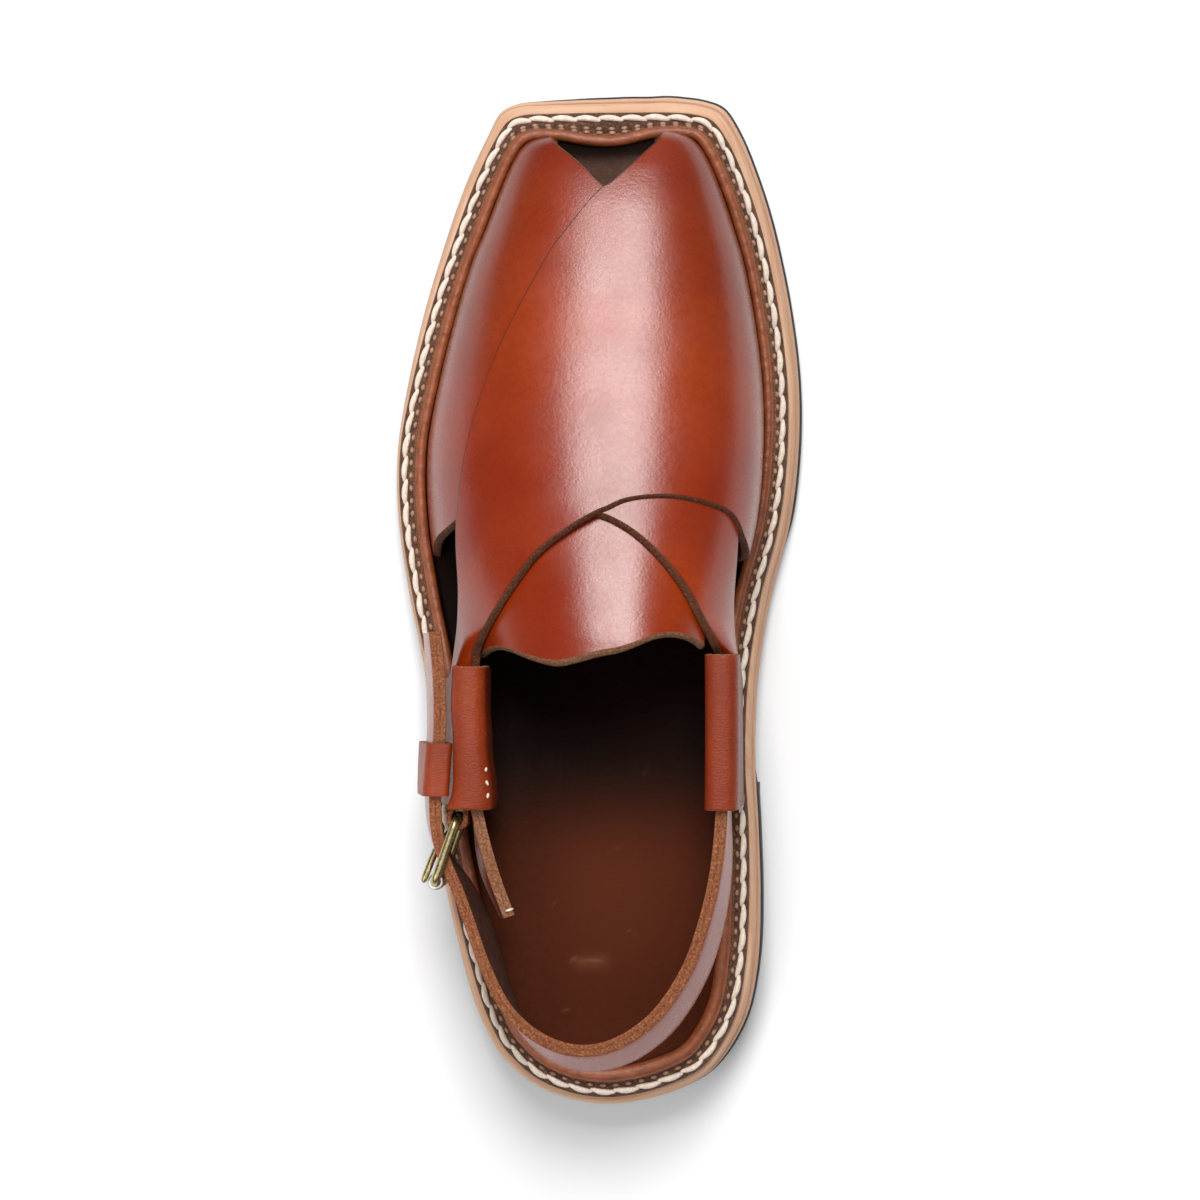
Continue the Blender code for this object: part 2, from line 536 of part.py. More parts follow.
def build_sole():
    t1, t2 = OUTSOLE_T, OUTSOLE_T + LAYER_T
    t3 = t2 + LAYER_T

    def tucked(row):
        y = row[..., 1]
        tuck = WAIST_TUCK * smooth((y + 58) / 22) * smooth((28 - y) / 30) * (row[..., 0] > 0)
        return -(row[..., 2] + row[..., 3] + lip(row)) + tuck

    layer("outsole", tucked, tucked, at_height(0), at_height(t1), RUBBER)
    layer("midsole_lower", wall(0.9), wall(0.5), at_height(t1 + GAP), at_height(t2), TAN)
    layer("midsole_upper", wall(0.45), rim, at_height(t2 + GAP), at_height(t3), TAN)
    # heel block: the sole's outline behind its front face
    v = stations(60)
    edge = lambda row: -(row[..., 2] + row[..., 3] + lip(row))
    foot = lambda row: edge(row) - 0.1
    lat, med = inset(-1, v, edge), inset(1, v, edge)
    low_lat, low_med = inset(-1, v, foot), inset(1, v, foot)
    behind = [i for i in range(len(v)) if lat[i, 1] < HEEL_Y - 1 and med[i, 1] < HEEL_Y - 1]
    rows = []
    for i in behind:
        rows.append((low_lat[i], low_med[i], lat[i], med[i]))
    last_row = rows[-1]
    for bow in (0.35, 0.7, 1.0):  # up to the front face
        rows.append(tuple(np.array([p[0], p[1] + (HEEL_Y - p[1]) * bow]) for p in last_row))
    n = len(rows)
    verts = []
    for low_a, low_b, a, b in rows:
        verts += [(low_a[0], low_a[1], 0.0), (low_b[0], low_b[1], 0.0)]
        verts += [(b[0], b[1], float(underside(b[1])) - 2 * GAP), (a[0], a[1], float(underside(a[1])) - 2 * GAP)]
    faces = quads(n, 4, wrap_cols=True)
    faces += [(0, 1, 2, 3), tuple((n - 1) * 4 + i for i in (3, 2, 1, 0))]
    make("heel", verts, faces, RUBBER)

    # welt: a ring from its outer edge to just inside the bead
    v = stations(34)
    ring_v = [(-1, x) for x in v] + [(1, x) for x in v[-2:0:-1]]
    verts = []
    for side, x in ring_v:
        for dist, z in ((0.0, t3 + GAP), (0.0, t3 + WELT_T), (1.0, t3 + WELT_T), (1.0, t3 + GAP)):
            p = inset(side, x, lambda r, d=dist: d * (r[..., 4] + BEAD_R))
            verts.append((p[0], p[1], float(underside(p[1])) + z))
    make("welt", verts, quads(len(ring_v), 4, wrap_rows=True, wrap_cols=True), DARK)
    # bead on the welt's inner edge
    path = []
    for side, x in ring_v:
        p = inset(side, x, lambda r: r[..., 4])
        path.append((p[0], p[1], float(underside(p[1])) + t3 + WELT_T + GAP + BEAD_R))
    verts, faces = tube(path, BEAD_R, 8, True)
    make("piping", verts, faces, EDGE, 60)
    inner = lambda r: r[..., 4] + BEAD_R + GAP + 0.15
    layer("insole", inner, inner, at_height(t3 + GAP), at_height(t3 + GAP + INSOLE_T), FOOTBED)


def build_upper():
    top = patch(TOP_FRONT, TOP_BACK, 26, 14)
    low = patch(LOW_FRONT, LOW_BACK, 26, 14)
    off = lift(top)
    none = np.zeros(low.shape[:2])
    a = sheet(run_in(last(top[..., 0], top[..., 1], off), QUARTER_LAT, -1, STRAP_T),
              run_in(last(top[..., 0], top[..., 1], off + STRAP_T), QUARTER_LAT, -1, 0.15))
    b = sheet(run_in(last(low[..., 0], low[..., 1], none), QUARTER_MED, 1, STRAP_T),
              run_in(last(low[..., 0], low[..., 1], none + STRAP_T), QUARTER_MED, 1, 0.15))
    upper = make("upper", *a, BROWN, 40)
    boolean(upper, make("low_strap", *b, BROWN), "UNION")
    boolean(upper, make("outer_side", *quarter(QUARTER_LAT, -1), BROWN), "UNION")
    boolean(upper, make("inner_side", *quarter(QUARTER_MED, 1), BROWN), "UNION")
    grid = patch(TONGUE_FRONT, TONGUE_BACK, 14, 9)
    v, s = grid[..., 0], grid[..., 1]
    make("tongue", *sheet(last(v, s, -GAP - 0.1 - TONGUE_T + 0 * v), last(v, s, -GAP - 0.1 + 0 * v)), BROWN)
    return upper


def build_straps():
    strap = make("back_strap", *ribbon(BACK_STRAP, 60, BACK_T, BACK_H), EDGE)
    # own strap of the buckle: in the outer sleeve, one leg round the bar, the other loose inside
    z0, z1 = 43.0, 57.2
    ax, ay = BUCKLE_A
    loose = thick_line(spline([(-34.1, -25.6), (-34.1, -32.0), (-33.8, -46.0), (-32.0, -60.0), (-27.8, -76.0), (-23.0, -89.5)], 16), 3.2)
    own = make("buckle_strap", *prism(loose, z0, z1), EDGE)
    loop = thick_line(spline([(-34.1, -33.0), (-34.3, -43.0), (-35.5, -53.0), (ax, ay)], 10), 2.7)
    boolean(own, make("leg", *prism(loop, z0 + 0.02, z1 - 0.02), EDGE), "UNION")
    boolean(own, make("round_end", *prism(arc(ax, ay, WIRE_R + GAP + 1.4, 0, 2 * pi * 15 / 16, 15), z0 + 0.01, z1 - 0.01), EDGE), "UNION")
    boolean(own, make("bore", *prism(arc(ax, ay, WIRE_R + GAP, 0, 2 * pi * 11 / 12, 11), z0 - 2, z1 + 2), EDGE), "DIFFERENCE")
    return strap, own


def build_buckle(strap, own):
    a, b = np.array(BUCKLE_A), np.array(BUCKLE_B)
    z0, z1 = BUCKLE_Z
    way = (b - a) / np.linalg.norm(b - a)
    corner = 2.6
    pts = []
    length = float(np.linalg.norm(b - a))
    for cu, cz, start in ((corner, z1 - corner, pi), (length - corner, z1 - corner, pi / 2), (length - corner, z0 + corner, 0.0), (corner, z0 + corner, -pi / 2)):
        for i in range(5):
            w = start - (pi / 2) * i / 4
            pts.append((cu + corner * cos(w), cz + corner * sin(w)))
    path = [(a[0] + way[0] * u, a[1] + way[1] * u, z) for u, z in pts]
    across = np.array([-way[1], way[0], 0.0])
    verts, faces = tube(path, WIRE_R, 8, True, up=across)
    make("buckle_frame", verts, faces, BRASS, 60)
    # roller on the far bar
    n = 14
    ring = []
    for r, z in ((ROLLER_R, z0 + 3.4), (ROLLER_R, z1 - 3.4), (WIRE_R + GAP, z1 - 3.4), (WIRE_R + GAP, z0 + 3.4)):
        ring.append([(b[0] + r * cos(2 * pi * k / n), b[1] + r * sin(2 * pi * k / n), z) for k in range(n)])
    verts = [p for row in ring for p in row]
    make("buckle_roller", verts, quads(4, n, wrap_rows=True, wrap_cols=True), BRASS)
    # prong: hooked on the near bar, through the strap, its tip on the outside of the roller
    zp = 50.0
    out = np.array([way[1], -way[0]])
    if out[0] > 0:
        out = -out
    tip = b + out * (ROLLER_R + 1.5) + way * 2.2
    start = a + way * (WIRE_R + GAP + 0.9)
    mid = a + way * 9.0 + out * 3.0
    line = spline([tuple(start) + (zp,), tuple(mid) + (zp,), tuple(tip) + (zp,)], 9)
    prong = make("buckle_prong", *tube(line, 1.05, 8, False), BRASS, 60)
    hook = [(a[0] + 2.55 * cos(w), a[1] + 2.55 * sin(w), zp) for w in [2 * pi * k / 14 for k in range(14)]]
    boolean(prong, make("hook", *tube(hook, 0.95, 6, True), BRASS), "UNION")
    boolean(strap, make("hole", *tube(line, 1.5, 8, False), EDGE), "DIFFERENCE")
    slot = [tuple(a + way * u + out * w) for u, w in ((-4.2, -6), (12, -6), (12, 6), (-4.2, 6))]
    boolean(own, make("slot", *prism(slot, zp - 1.6, zp + 1.6), EDGE), "DIFFERENCE")


def build_keeper():
    """Band round the free tail, beside the outer sleeve."""
    c = spline(BACK_STRAP, 400)
    rows = [r for r in c if r[0] < -40 and -56.0 <= r[1] <= -40.0]
    y0, y1 = -55.5, -40.6
    verts = []
    t, clear_by = 1.7, 0.35
    for y in (y0, (y0 + y1) / 2, y1):
        r = min(rows, key=lambda q: abs(q[1] - y))
        x, z, lean = r[0], r[2], r[3]
        zt, zb = z + clear_by, z - BACK_H - clear_by
        for grow in (t, 0.0):
            h = BACK_T / 2 + clear_by + grow
            low = -lean
            verts += [(x - h, y, zt + grow), (x + h, y, zt + grow), (x + h + low, y, zb - grow), (x - h + low, y, zb - grow)]
    faces = []
    for i in range(2):
        o, p = i * 8, (i + 1) * 8
        for k in range(4):
            m = (k + 1) % 4
            faces.append((o + k, o + m, p + m, p + k))
            faces.append((o + 4 + k, p + 4 + k, p + 4 + m, o + 4 + m))
    for o, flip in ((0, False), (16, True)):
        for k in range(4):
            m = (k + 1) % 4
            f = (o + k, o + 4 + k, o + 4 + m, o + m)
            faces.append(f[::-1] if flip else f)
    make("keeper", verts, faces, BROWN)


clear()
build_sole()
build_upper()
strap, own = build_straps()
build_buckle(strap, own)
build_keeper()
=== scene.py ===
"""Looks of the left peshawari chappal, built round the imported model. Tables are in millimetres in the shoe's own
coordinates: +Y toe, -X outer side, +Z up."""
from math import pi, cos, sin, sqrt, atan2, radians

import bpy
import numpy as np
from mathutils import Matrix, Vector


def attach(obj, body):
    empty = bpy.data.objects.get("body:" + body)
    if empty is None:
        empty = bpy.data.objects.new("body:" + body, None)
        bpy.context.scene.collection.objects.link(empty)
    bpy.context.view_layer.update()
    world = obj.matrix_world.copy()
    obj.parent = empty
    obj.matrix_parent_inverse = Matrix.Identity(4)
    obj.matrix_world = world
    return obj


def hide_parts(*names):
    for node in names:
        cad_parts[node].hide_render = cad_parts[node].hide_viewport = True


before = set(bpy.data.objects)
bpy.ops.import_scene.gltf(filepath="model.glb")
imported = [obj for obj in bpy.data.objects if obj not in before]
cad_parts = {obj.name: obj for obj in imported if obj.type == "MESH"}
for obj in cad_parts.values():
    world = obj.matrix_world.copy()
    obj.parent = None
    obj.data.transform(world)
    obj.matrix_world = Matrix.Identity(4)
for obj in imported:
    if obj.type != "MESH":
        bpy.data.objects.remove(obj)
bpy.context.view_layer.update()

MM = 0.001
ORIGIN = (-0.9, -0.15, 0.0)   # middle of the whole shoe in the tables' own coordinates

# ---------------------------------------------------------------- driving sizes
OUTSOLE_T = 4.0        # rubber outsole
LAYER_T = 4.0          # each of the two leather midsole layers
WELT_T = 3.0
INSOLE_T = 3.5
GAP = 0.3              # between pieces that touch
BEAD_R = 1.5           # rolled edge between welt and upper
STRAP_T = 2.3          # crossed straps of the upper
LIFT = 1.6             # how far the top strap rides up on the lower one
TONGUE_T = 2.0
SLEEVE_T = 2.0         # side pieces and their folded tops
BACK_T, BACK_H = 3.5, 16.0   # back strap, on edge
HEEL_Y = -54.0         # front face of the heel block
WAIST_TUCK = 2.2       # outsole narrower than the midsole at the waist, inner side
WIRE_R = 1.25          # buckle
ROLLER_R = 2.4
SIDE_POWER, TOP_POWER = 0.80, 0.85   # how square the last's sections are

# height of the outsole's underside: heel lift, waist, flat forefoot, toe spring
UNDERSIDE = (  # y, z
    (-150, 14.5), (-120, 14.5), (-80, 13.6), (-54, 11.2), (-38, 7.6), (-20, 3.6), (-4, 0.9), (12, 0.0),
    (75, 0.0), (95, 0.7), (115, 2.4), (135, 4.6), (150, 6.5))

# the welt's outer edge, section by section; rim is what the midsole's top shows outside it, flare what the
# sole's wall adds lower down, band what lies between the welt's edge and the middle of the bead
SECTIONS = (  # y, lateral x, medial x, rim lat, rim med, flare lat, flare med, band lat, band med
    (134.5, -30.6, 37.5, 1.0, 1.0, 3.0, 3.3, 6.6, 6.2),
    (123.0, -36.3, 42.8, 1.0, 1.0, 2.7, 2.5, 6.5, 6.0),
    (108.5, -42.0, 47.6, 0.9, 0.9, 2.6, 2.2, 6.5, 5.9),
    (88.1, -49.0, 52.1, 0.8, 0.9, 2.3, 2.1, 6.5, 5.8),
    (64.6, -55.2, 55.1, 0.7, 0.9, 1.7, 2.0, 6.5, 5.8),
    (44.1, -58.9, 55.2, 0.6, 0.9, 1.2, 1.9, 6.5, 5.8),
    (23.5, -58.6, 52.9, 0.6, 0.9, 1.2, 1.8, 6.5, 5.8),
    (0.0, -54.9, 47.1, 0.7, 0.9, 1.2, 1.7, 6.5, 6.0),
    (-23.4, -49.9, 43.7, 0.8, 0.9, 1.2, 1.5, 6.4, 6.0),
    (-46.6, -47.9, 43.0, 0.8, 0.9, 1.4, 1.5, 6.4, 6.0),
    (-66.8, -45.5, 44.1, 0.9, 1.0, 1.8, 1.3, 6.4, 6.2),
    (-87.0, -41.4, 44.2, 1.1, 1.2, 2.0, 1.6, 6.4, 6.4),
    (-104.3, -37.1, 43.3, 1.2, 1.2, 2.0, 1.9, 6.4, 6.4),
    (-118.8, -32.6, 40.7, 1.3, 1.3, 2.0, 1.7, 6.4, 6.4),
    (-128.9, -27.7, 35.8, 1.4, 1.4, 2.0, 1.5, 6.4, 6.4))
TOE_EDGE = (  # x, y, rim, flare, band
    (-26.6, 140.2, 1.0, 3.9, 6.9), (-22.4, 141.9, 1.0, 4.2, 6.9), (-14.2, 142.3, 1.0, 4.1, 7.0), (-8.7, 142.4, 1.0, 3.9, 7.7),
    (-3.3, 142.5, 1.0, 3.8, 8.3), (2.5, 142.5, 1.0, 3.8, 8.5), (8.0, 142.5, 1.0, 4.0, 8.2), (13.0, 142.5, 1.0, 4.1, 7.4),
    (18.0, 142.5, 1.0, 4.5, 6.6), (23.5, 142.3, 1.0, 4.4, 6.3), (27.5, 141.9, 1.0, 4.3, 6.2), (33.0, 140.2, 1.0, 4.0, 6.2))
HEEL_EDGE = (  # x, y, rim, flare, band
    (30.3, -135.6, 1.5, 1.5, 6.4), (22.0, -140.0, 1.6, 1.8, 6.4), (12.3, -143.0, 1.6, 1.6, 6.4), (1.9, -144.2, 1.6, 1.6, 6.4),
    (-8.5, -142.6, 1.6, 1.6, 6.4), (-18.0, -138.4, 1.6, 1.8, 6.4), (-24.4, -132.8, 1.5, 1.9, 6.4))
SPINE_X, SPINE_TOE, SPINE_HEEL = 3.0, 100.0, -100.0

# the last: height of its ridge above the insole, and how far its top leans to the inner side
LAST = (  # y, ridge, lean
    (-150, 40.0, 4.0), (-90, 46.0, 6.0), (-60, 51.0, 8.0), (-30, 56.0, 9.5), (-12, 56.5, 9.5), (0, 54.5, 9.0), (23, 48.5, 7.0),
    (44, 42.5, 5.0), (65, 36.0, 3.0), (88, 29.0, 1.5), (108, 22.0, 0.5), (122, 15.5, 0.0), (130, 10.5, 0.0), (136, 6.5, 0.0),
    (150, 4.0, 0.0))

LOOP_N = 720


def through(rows, col, at):
    """Smooth curve through one column of a table, against its first column."""
    x = np.array([r[0] for r in rows], float)
    y = np.array([r[col] for r in rows], float)
    h = np.diff(x)
    d = np.diff(y) / h
    m = np.zeros_like(y)
    m[0], m[-1] = d[0], d[-1]
    for i in range(1, len(x) - 1):
        m[i] = 0.0 if d[i - 1] * d[i] <= 0 else 2 * d[i - 1] * d[i] / (d[i - 1] + d[i])
    at = np.clip(np.asarray(at, float), x[0], x[-1])
    i = np.clip(np.searchsorted(x, at) - 1, 0, len(x) - 2)
    t = (at - x[i]) / h[i]
    return ((1 + 2 * t) * (1 - t) ** 2 * y[i] + t * (1 - t) ** 2 * h[i] * m[i]
            + t * t * (3 - 2 * t) * y[i + 1] + t * t * (t - 1) * h[i] * m[i + 1])


def smooth(x):
    x = np.clip(x, 0, 1)
    return x * x * (3 - 2 * x)


def underside(y):
    return through(UNDERSIDE, 1, y)


def spline(points, n, closed=False, plan=False):
    """Smooth curve through rows of points, at n even steps of its length."""
    p = np.asarray(points, float)
    k = len(p)
    if not closed:
        p = np.vstack([2 * p[0] - p[1], p, 2 * p[-1] - p[-2]])
    dims = 2 if plan else p.shape[1]
    out = []
    for i in (range(k) if closed else range(1, k)):
        a, b, c, d = (p[i - 1], p[i], p[(i + 1) % k], p[(i + 2) % k]) if closed else p[i - 1:i + 3]
        t0 = 0.0
        t1 = t0 + max(np.linalg.norm((b - a)[:dims]), 1e-9) ** 0.5
        t2 = t1 + max(np.linalg.norm((c - b)[:dims]), 1e-9) ** 0.5
        t3 = t2 + max(np.linalg.norm((d - c)[:dims]), 1e-9) ** 0.5
        t = np.linspace(t1, t2, 40, endpoint=False)[:, None]
        A1 = (t1 - t) / (t1 - t0) * a + (t - t0) / (t1 - t0) * b
        A2 = (t2 - t) / (t2 - t1) * b + (t - t1) / (t2 - t1) * c
        A3 = (t3 - t) / (t3 - t2) * c + (t - t2) / (t3 - t2) * d
        B1 = (t2 - t) / (t2 - t0) * A1 + (t - t0) / (t2 - t0) * A2
        B2 = (t3 - t) / (t3 - t1) * A2 + (t - t1) / (t3 - t1) * A3
        out.append((t2 - t) / (t2 - t1) * B1 + (t - t1) / (t2 - t1) * B2)
    out = np.vstack(out + [out[0][:1] if closed else p[-2:-1]])
    length = np.concatenate([[0], np.cumsum(np.linalg.norm(np.diff(out[:, :dims], axis=0), axis=1))])
    at = np.linspace(0, length[-1], n, endpoint=not closed)
    return np.stack([np.interp(at, length, out[:, j]) for j in range(out.shape[1])], 1)


def sole_loop():
    """Welt edge from the heel's middle up the lateral side, round the toe and back: x, y, rim, flare, band."""
    rows = list(HEEL_EDGE[3:])
    rows += [(r[1], r[0], r[3], r[5], r[7]) for r in reversed(SECTIONS)]
    rows += list(TOE_EDGE)
    rows += [(r[2], r[0], r[4], r[6], r[8]) for r in SECTIONS]
    rows += list(HEEL_EDGE[:3])
    return spline(rows, LOOP_N, closed=True, plan=True)


LOOP = sole_loop()
TOE_I = min((i for i in range(LOOP_N) if LOOP[i, 1] > 130), key=lambda i: abs(LOOP[i, 0] - SPINE_X))


def station(side, v):
    """Loop row at station v, 0 at the heel's middle and 1 at the toe's, on the lateral (-1) or medial (1) side."""
    v = np.clip(np.asarray(v, float), 0, 1)
    i = v * TOE_I if side < 0 else LOOP_N - v * (LOOP_N - TOE_I)
    i0 = np.floor(i).astype(int)
    f = (i - i0)[..., None]
    return LOOP[i0 % LOOP_N] * (1 - f) + LOOP[(i0 + 1) % LOOP_N] * f


def inset(side, v, distance):
    """Plan point a distance inside the welt's edge, towards the shoe's spine; distance is a function of the row."""
    row = station(side, v)
    p = row[..., :2]
    target = np.stack([np.full(p.shape[:-1], SPINE_X), np.clip(p[..., 1], SPINE_HEEL, SPINE_TOE)], -1)
    way = target - p
    way = way / np.linalg.norm(way, axis=-1, keepdims=True)
    return p + way * np.asarray(distance(row) * np.ones(p.shape[:-1]))[..., None]


def lip(row):
    """How far the outsole's edge stands out beyond the wall over it, on the inner side and round the toe."""
    return 1.05 * smooth((row[..., 0] + 30) / 36) * smooth((row[..., 1] + 142) / 14)


def welt_top(y):
    return underside(y) + OUTSOLE_T + 2 * LAYER_T + WELT_T


def insole_top(y):
    return underside(y) + OUTSOLE_T + 2 * LAYER_T + GAP + INSOLE_T


def feather(side, v):
    """Foot of the last, where the upper's inner face comes down just inside the bead."""
    return inset(side, v, lambda r: r[..., 4] + BEAD_R + GAP + STRAP_T)


def last_point(v, s):
    v, s = np.asarray(v, float), np.asarray(s, float)
    lat, med = feather(-1, v), feather(1, v)
    c = np.cos(pi * np.clip(s, 0, 1))
    across = (1 - np.sign(c) * np.abs(c) ** SIDE_POWER) / 2
    rise = np.sin(pi * np.clip(s, 0, 1)) ** TOP_POWER
    mid_y = (lat[..., 1] + med[..., 1]) / 2
    toe = np.clip((v - 0.905) / 0.095, 0, 1)
    ridge = through(LAST, 1, mid_y) * np.sqrt(np.clip(1 - toe ** 2, 0, 1))
    p = lat + (med - lat) * across[..., None]
    return np.stack([p[..., 0] + through(LAST, 2, mid_y) * rise, p[..., 1], insole_top(p[..., 1]) + GAP + ridge * rise], -1)


def last(v, s, off=0.0):
    """Point on the last at station v and fraction s across, from the lateral edge 0 over the ridge to the medial
    edge 1, raised by off along the surface's normal."""
    e = 2e-3
    v, s = np.asarray(v, float), np.asarray(s, float)
    s0, v0 = np.clip(s, 0.012, 0.988), np.clip(v, 0.01, 0.985)
    dv = last_point(v0 + e, s0) - last_point(v0 - e, s0)
    ds = last_point(v0, s0 + e) - last_point(v0, s0 - e)
    n = np.cross(ds, dv)
    n = n / np.linalg.norm(n, axis=-1, keepdims=True)
    upright = np.clip(np.minimum(s, 1 - s) / 0.05, 0, 1)
    n = n * np.stack([np.ones_like(upright), np.ones_like(upright), upright], -1)
    n = n / np.linalg.norm(n, axis=-1, keepdims=True)
    return last_point(v, s) + n * np.asarray(off, float)[..., None]


# ---------------------------------------------------------------- edges of the upper's pieces on the last
TOP_FRONT = (  # station, across: front edge of the top strap, from its toe tip to the outer side's window
    (0.9480, 1.0), (0.9310, 0.82), (0.9100, 0.6813), (0.8813, 0.5663), (0.8525, 0.4975), (0.8062, 0.4288), (0.7512, 0.3613),
    (0.6875, 0.2975), (0.6262, 0.2560), (0.5700, 0.2188), (0.5275, 0.1860), (0.4980, 0.157), (0.4700, 0.118), (0.4450, 0.085), (0.4110, 0.064))
TOP_BACK = (  # its back edge, from the inner side's sole over the instep to the outer sleeve
    (0.5250, 1.0), (0.5290, 0.90), (0.5420, 0.8180), (0.5600, 0.7562), (0.5690, 0.6700), (0.5725, 0.590), (0.5675, 0.5225),
    (0.5575, 0.495), (0.5437, 0.4537), (0.5250, 0.3950), (0.5038, 0.3412), (0.4812, 0.2825), (0.4550, 0.2063), (0.4400, 0.1700), (0.4180, 0.1500))
LOW_FRONT = (  # the lower strap mirrors it: from its toe tip to the inner side's window
    (0.9430, 0.0), (0.9310, 0.16), (0.9125, 0.3063), (0.8850, 0.430), (0.8550, 0.4975), (0.8062, 0.5712), (0.7512, 0.6387),
    (0.6875, 0.7025), (0.6262, 0.7440), (0.5700, 0.7812), (0.5275, 0.814), (0.4980, 0.843), (0.4700, 0.882), (0.4450, 0.915), (0.4250, 0.930))
LOW_BACK = (
    (0.5240, 0.0), (0.5310, 0.03), (0.5375, 0.0725), (0.5450, 0.1388), (0.5525, 0.1913), (0.5620, 0.2550), (0.5700, 0.330),
    (0.5725, 0.410), (0.5650, 0.470), (0.5550, 0.500), (0.5413, 0.5400), (0.5188, 0.5963), (0.4962, 0.6512), (0.4750, 0.700),
    (0.4575, 0.7525), (0.4430, 0.8080), (0.4330, 0.8350))
TONGUE_BACK = (  # wavy cut edge of the piece under the crossing
    (0.4370, 0.1450), (0.4415, 0.1780), (0.4445, 0.2100), (0.4450, 0.2400), (0.4430, 0.2750), (0.4390, 0.3150), (0.4355, 0.3600), (0.4340, 0.4000),
    (0.4360, 0.4288), (0.4413, 0.4750), (0.4480, 0.5212), (0.4590, 0.5925), (0.4605, 0.6425), (0.4562, 0.706), (0.4500, 0.752))
TONGUE_FRONT = ((0.560, 0.290), (0.605, 0.330), (0.628, 0.420), (0.632, 0.500), (0.628, 0.580), (0.605, 0.670), (0.560, 0.715))

# side pieces with their tops folded over into sleeves, outer face, section by section
QUARTER_LAT = (  # y, foot x, wall x, fold x (outer side), top z, fold width
    (-19.0, -48.4, -42.0, -39.1, 62.0, 9.6), (-30.0, -47.3, -41.6, -39.5, 62.5, 10.0), (-39.5, -46.6, -41.0, -38.9, 62.5, 9.9),
    (-51.0, -45.6, -40.6, -38.9, 62.2, 11.0), (-55.5, -45.2, -41.0, -39.5, 61.9, 12.0), (-59.0, -45.0, -41.6, -41.0, 61.5, 13.4))
QUARTER_MED = (
    (-15.5, 42.2, 42.0, 41.9, 62.0, 9.6), (-30.0, 42.4, 42.2, 42.0, 62.5, 9.6), (-42.0, 42.5, 42.3, 42.0, 62.5, 9.6),
    (-51.0, 42.6, 42.3, 41.9, 62.5, 9.6), (-59.0, 42.8, 42.2, 41.8, 62.0, 9.6))
SLEEVE_DROP = 20.0     # how far the fold comes down inside
FOLD_POWER = 0.8       # under 1 squares the fold's round top
FRONT_SLOPE = 8.0      # how far the side pieces' front edge runs back towards the sole

# back strap, on edge: from inside the inner sleeve round the heel to the buckle and on as the free tail
BACK_STRAP = (  # x and y of its top edge, z of the top edge, lean: how far its lower edge lies outside the top edge
    (37.3, -22.5, 58.2, 0.0), (37.3, -40.0, 58.2, 0.0), (37.1, -58.0, 58.8, 0.6), (35.6, -75.0, 61.0, 2.6), (32.6, -89.0, 62.5, 4.0), (27.2, -104.0, 64.0, 5.0),
    (17.6, -117.5, 65.5, 6.0), (6.0, -124.8, 66.0, 6.4), (-4.0, -126.0, 66.0, 6.0), (-14.0, -122.6, 65.5, 4.0), (-22.8, -115.0, 64.5, 0.5), (-29.0, -104.0, 63.0, -2.0),
    (-33.6, -92.0, 61.0, -2.6), (-37.4, -82.0, 59.3, -1.2), (-41.0, -74.0, 58.3, 1.0), (-43.2, -66.5, 57.8, 2.4), (-43.9, -57.5, 57.5, 3.0),
    (-43.4, -48.0, 57.2, 3.5), (-42.6, -36.0, 57.0, 3.8), (-42.9, -22.0, 56.5, 3.8), (-44.2, -9.0, 55.8, 3.4))
BUCKLE_A = (-37.8, -62.2)      # plan places of the buckle's two upright bars: the one its own strap holds
BUCKLE_B = (-43.9, -79.8)      # and the one with the roller
BUCKLE_Z = (38.6, 60.6)        # centre heights of its lower and upper bars


# ---------------------------------------------------------------- mesh helpers
def to_world(points):
    return (np.asarray(points, float) - np.array(ORIGIN)) * MM


def add_mesh(name, verts, faces, mats, face_mat=None, smooth_angle=None, attrs=None, uv=None):
    mesh = bpy.data.meshes.new(name)
    v = to_world(verts)
    mesh.from_pydata(v.tolist(), [], [tuple(int(i) for i in f) for f in faces])
    for m in mats:
        mesh.materials.append(m)
    if face_mat is not None:
        mesh.polygons.foreach_set("material_index", np.asarray(face_mat, np.int32))
    for key, values in (attrs or {}).items():
        a = mesh.attributes.new(key, "FLOAT", "POINT")
        a.data.foreach_set("value", np.asarray(values, np.float32))
    if uv is not None:
        layer = mesh.uv_layers.new(name="along")
        loops = np.empty(len(mesh.loops), np.int32)
        mesh.loops.foreach_get("vertex_index", loops)
        layer.data.foreach_set("uv", np.asarray(uv, np.float32)[loops].reshape(-1))
    mesh.update()
    mesh.shade_smooth()
    if smooth_angle:
        mesh.set_sharp_from_angle(angle=radians(smooth_angle))
    obj = bpy.data.objects.new(name, mesh)
    bpy.context.scene.collection.objects.link(obj)
    return obj


def fix_normals(obj):
    import bmesh
    bm = bmesh.new()
    bm.from_mesh(obj.data)
    bmesh.ops.recalc_face_normals(bm, faces=bm.faces)
    if bm.calc_volume(signed=True) < 0:
        bmesh.ops.reverse_faces(bm, faces=bm.faces)
    bm.to_mesh(obj.data)
    bm.free()


def done(obj, slot, *nodes):
    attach(obj, "root")
    if nodes:
        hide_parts(*nodes)
    return obj


def quads(rows, cols, wrap_rows=False, wrap_cols=False, start=0):
    i = np.arange(rows if wrap_rows else rows - 1)[:, None]
    j = np.arange(cols if wrap_cols else cols - 1)[None, :]
    a = i * cols + j
    b = i * cols + (j + 1) % cols
    c = ((i + 1) % rows) * cols + (j + 1) % cols
    d = ((i + 1) % rows) * cols + j
    return (np.stack([a, b, c, d], -1).reshape(-1, 4) + start).tolist()


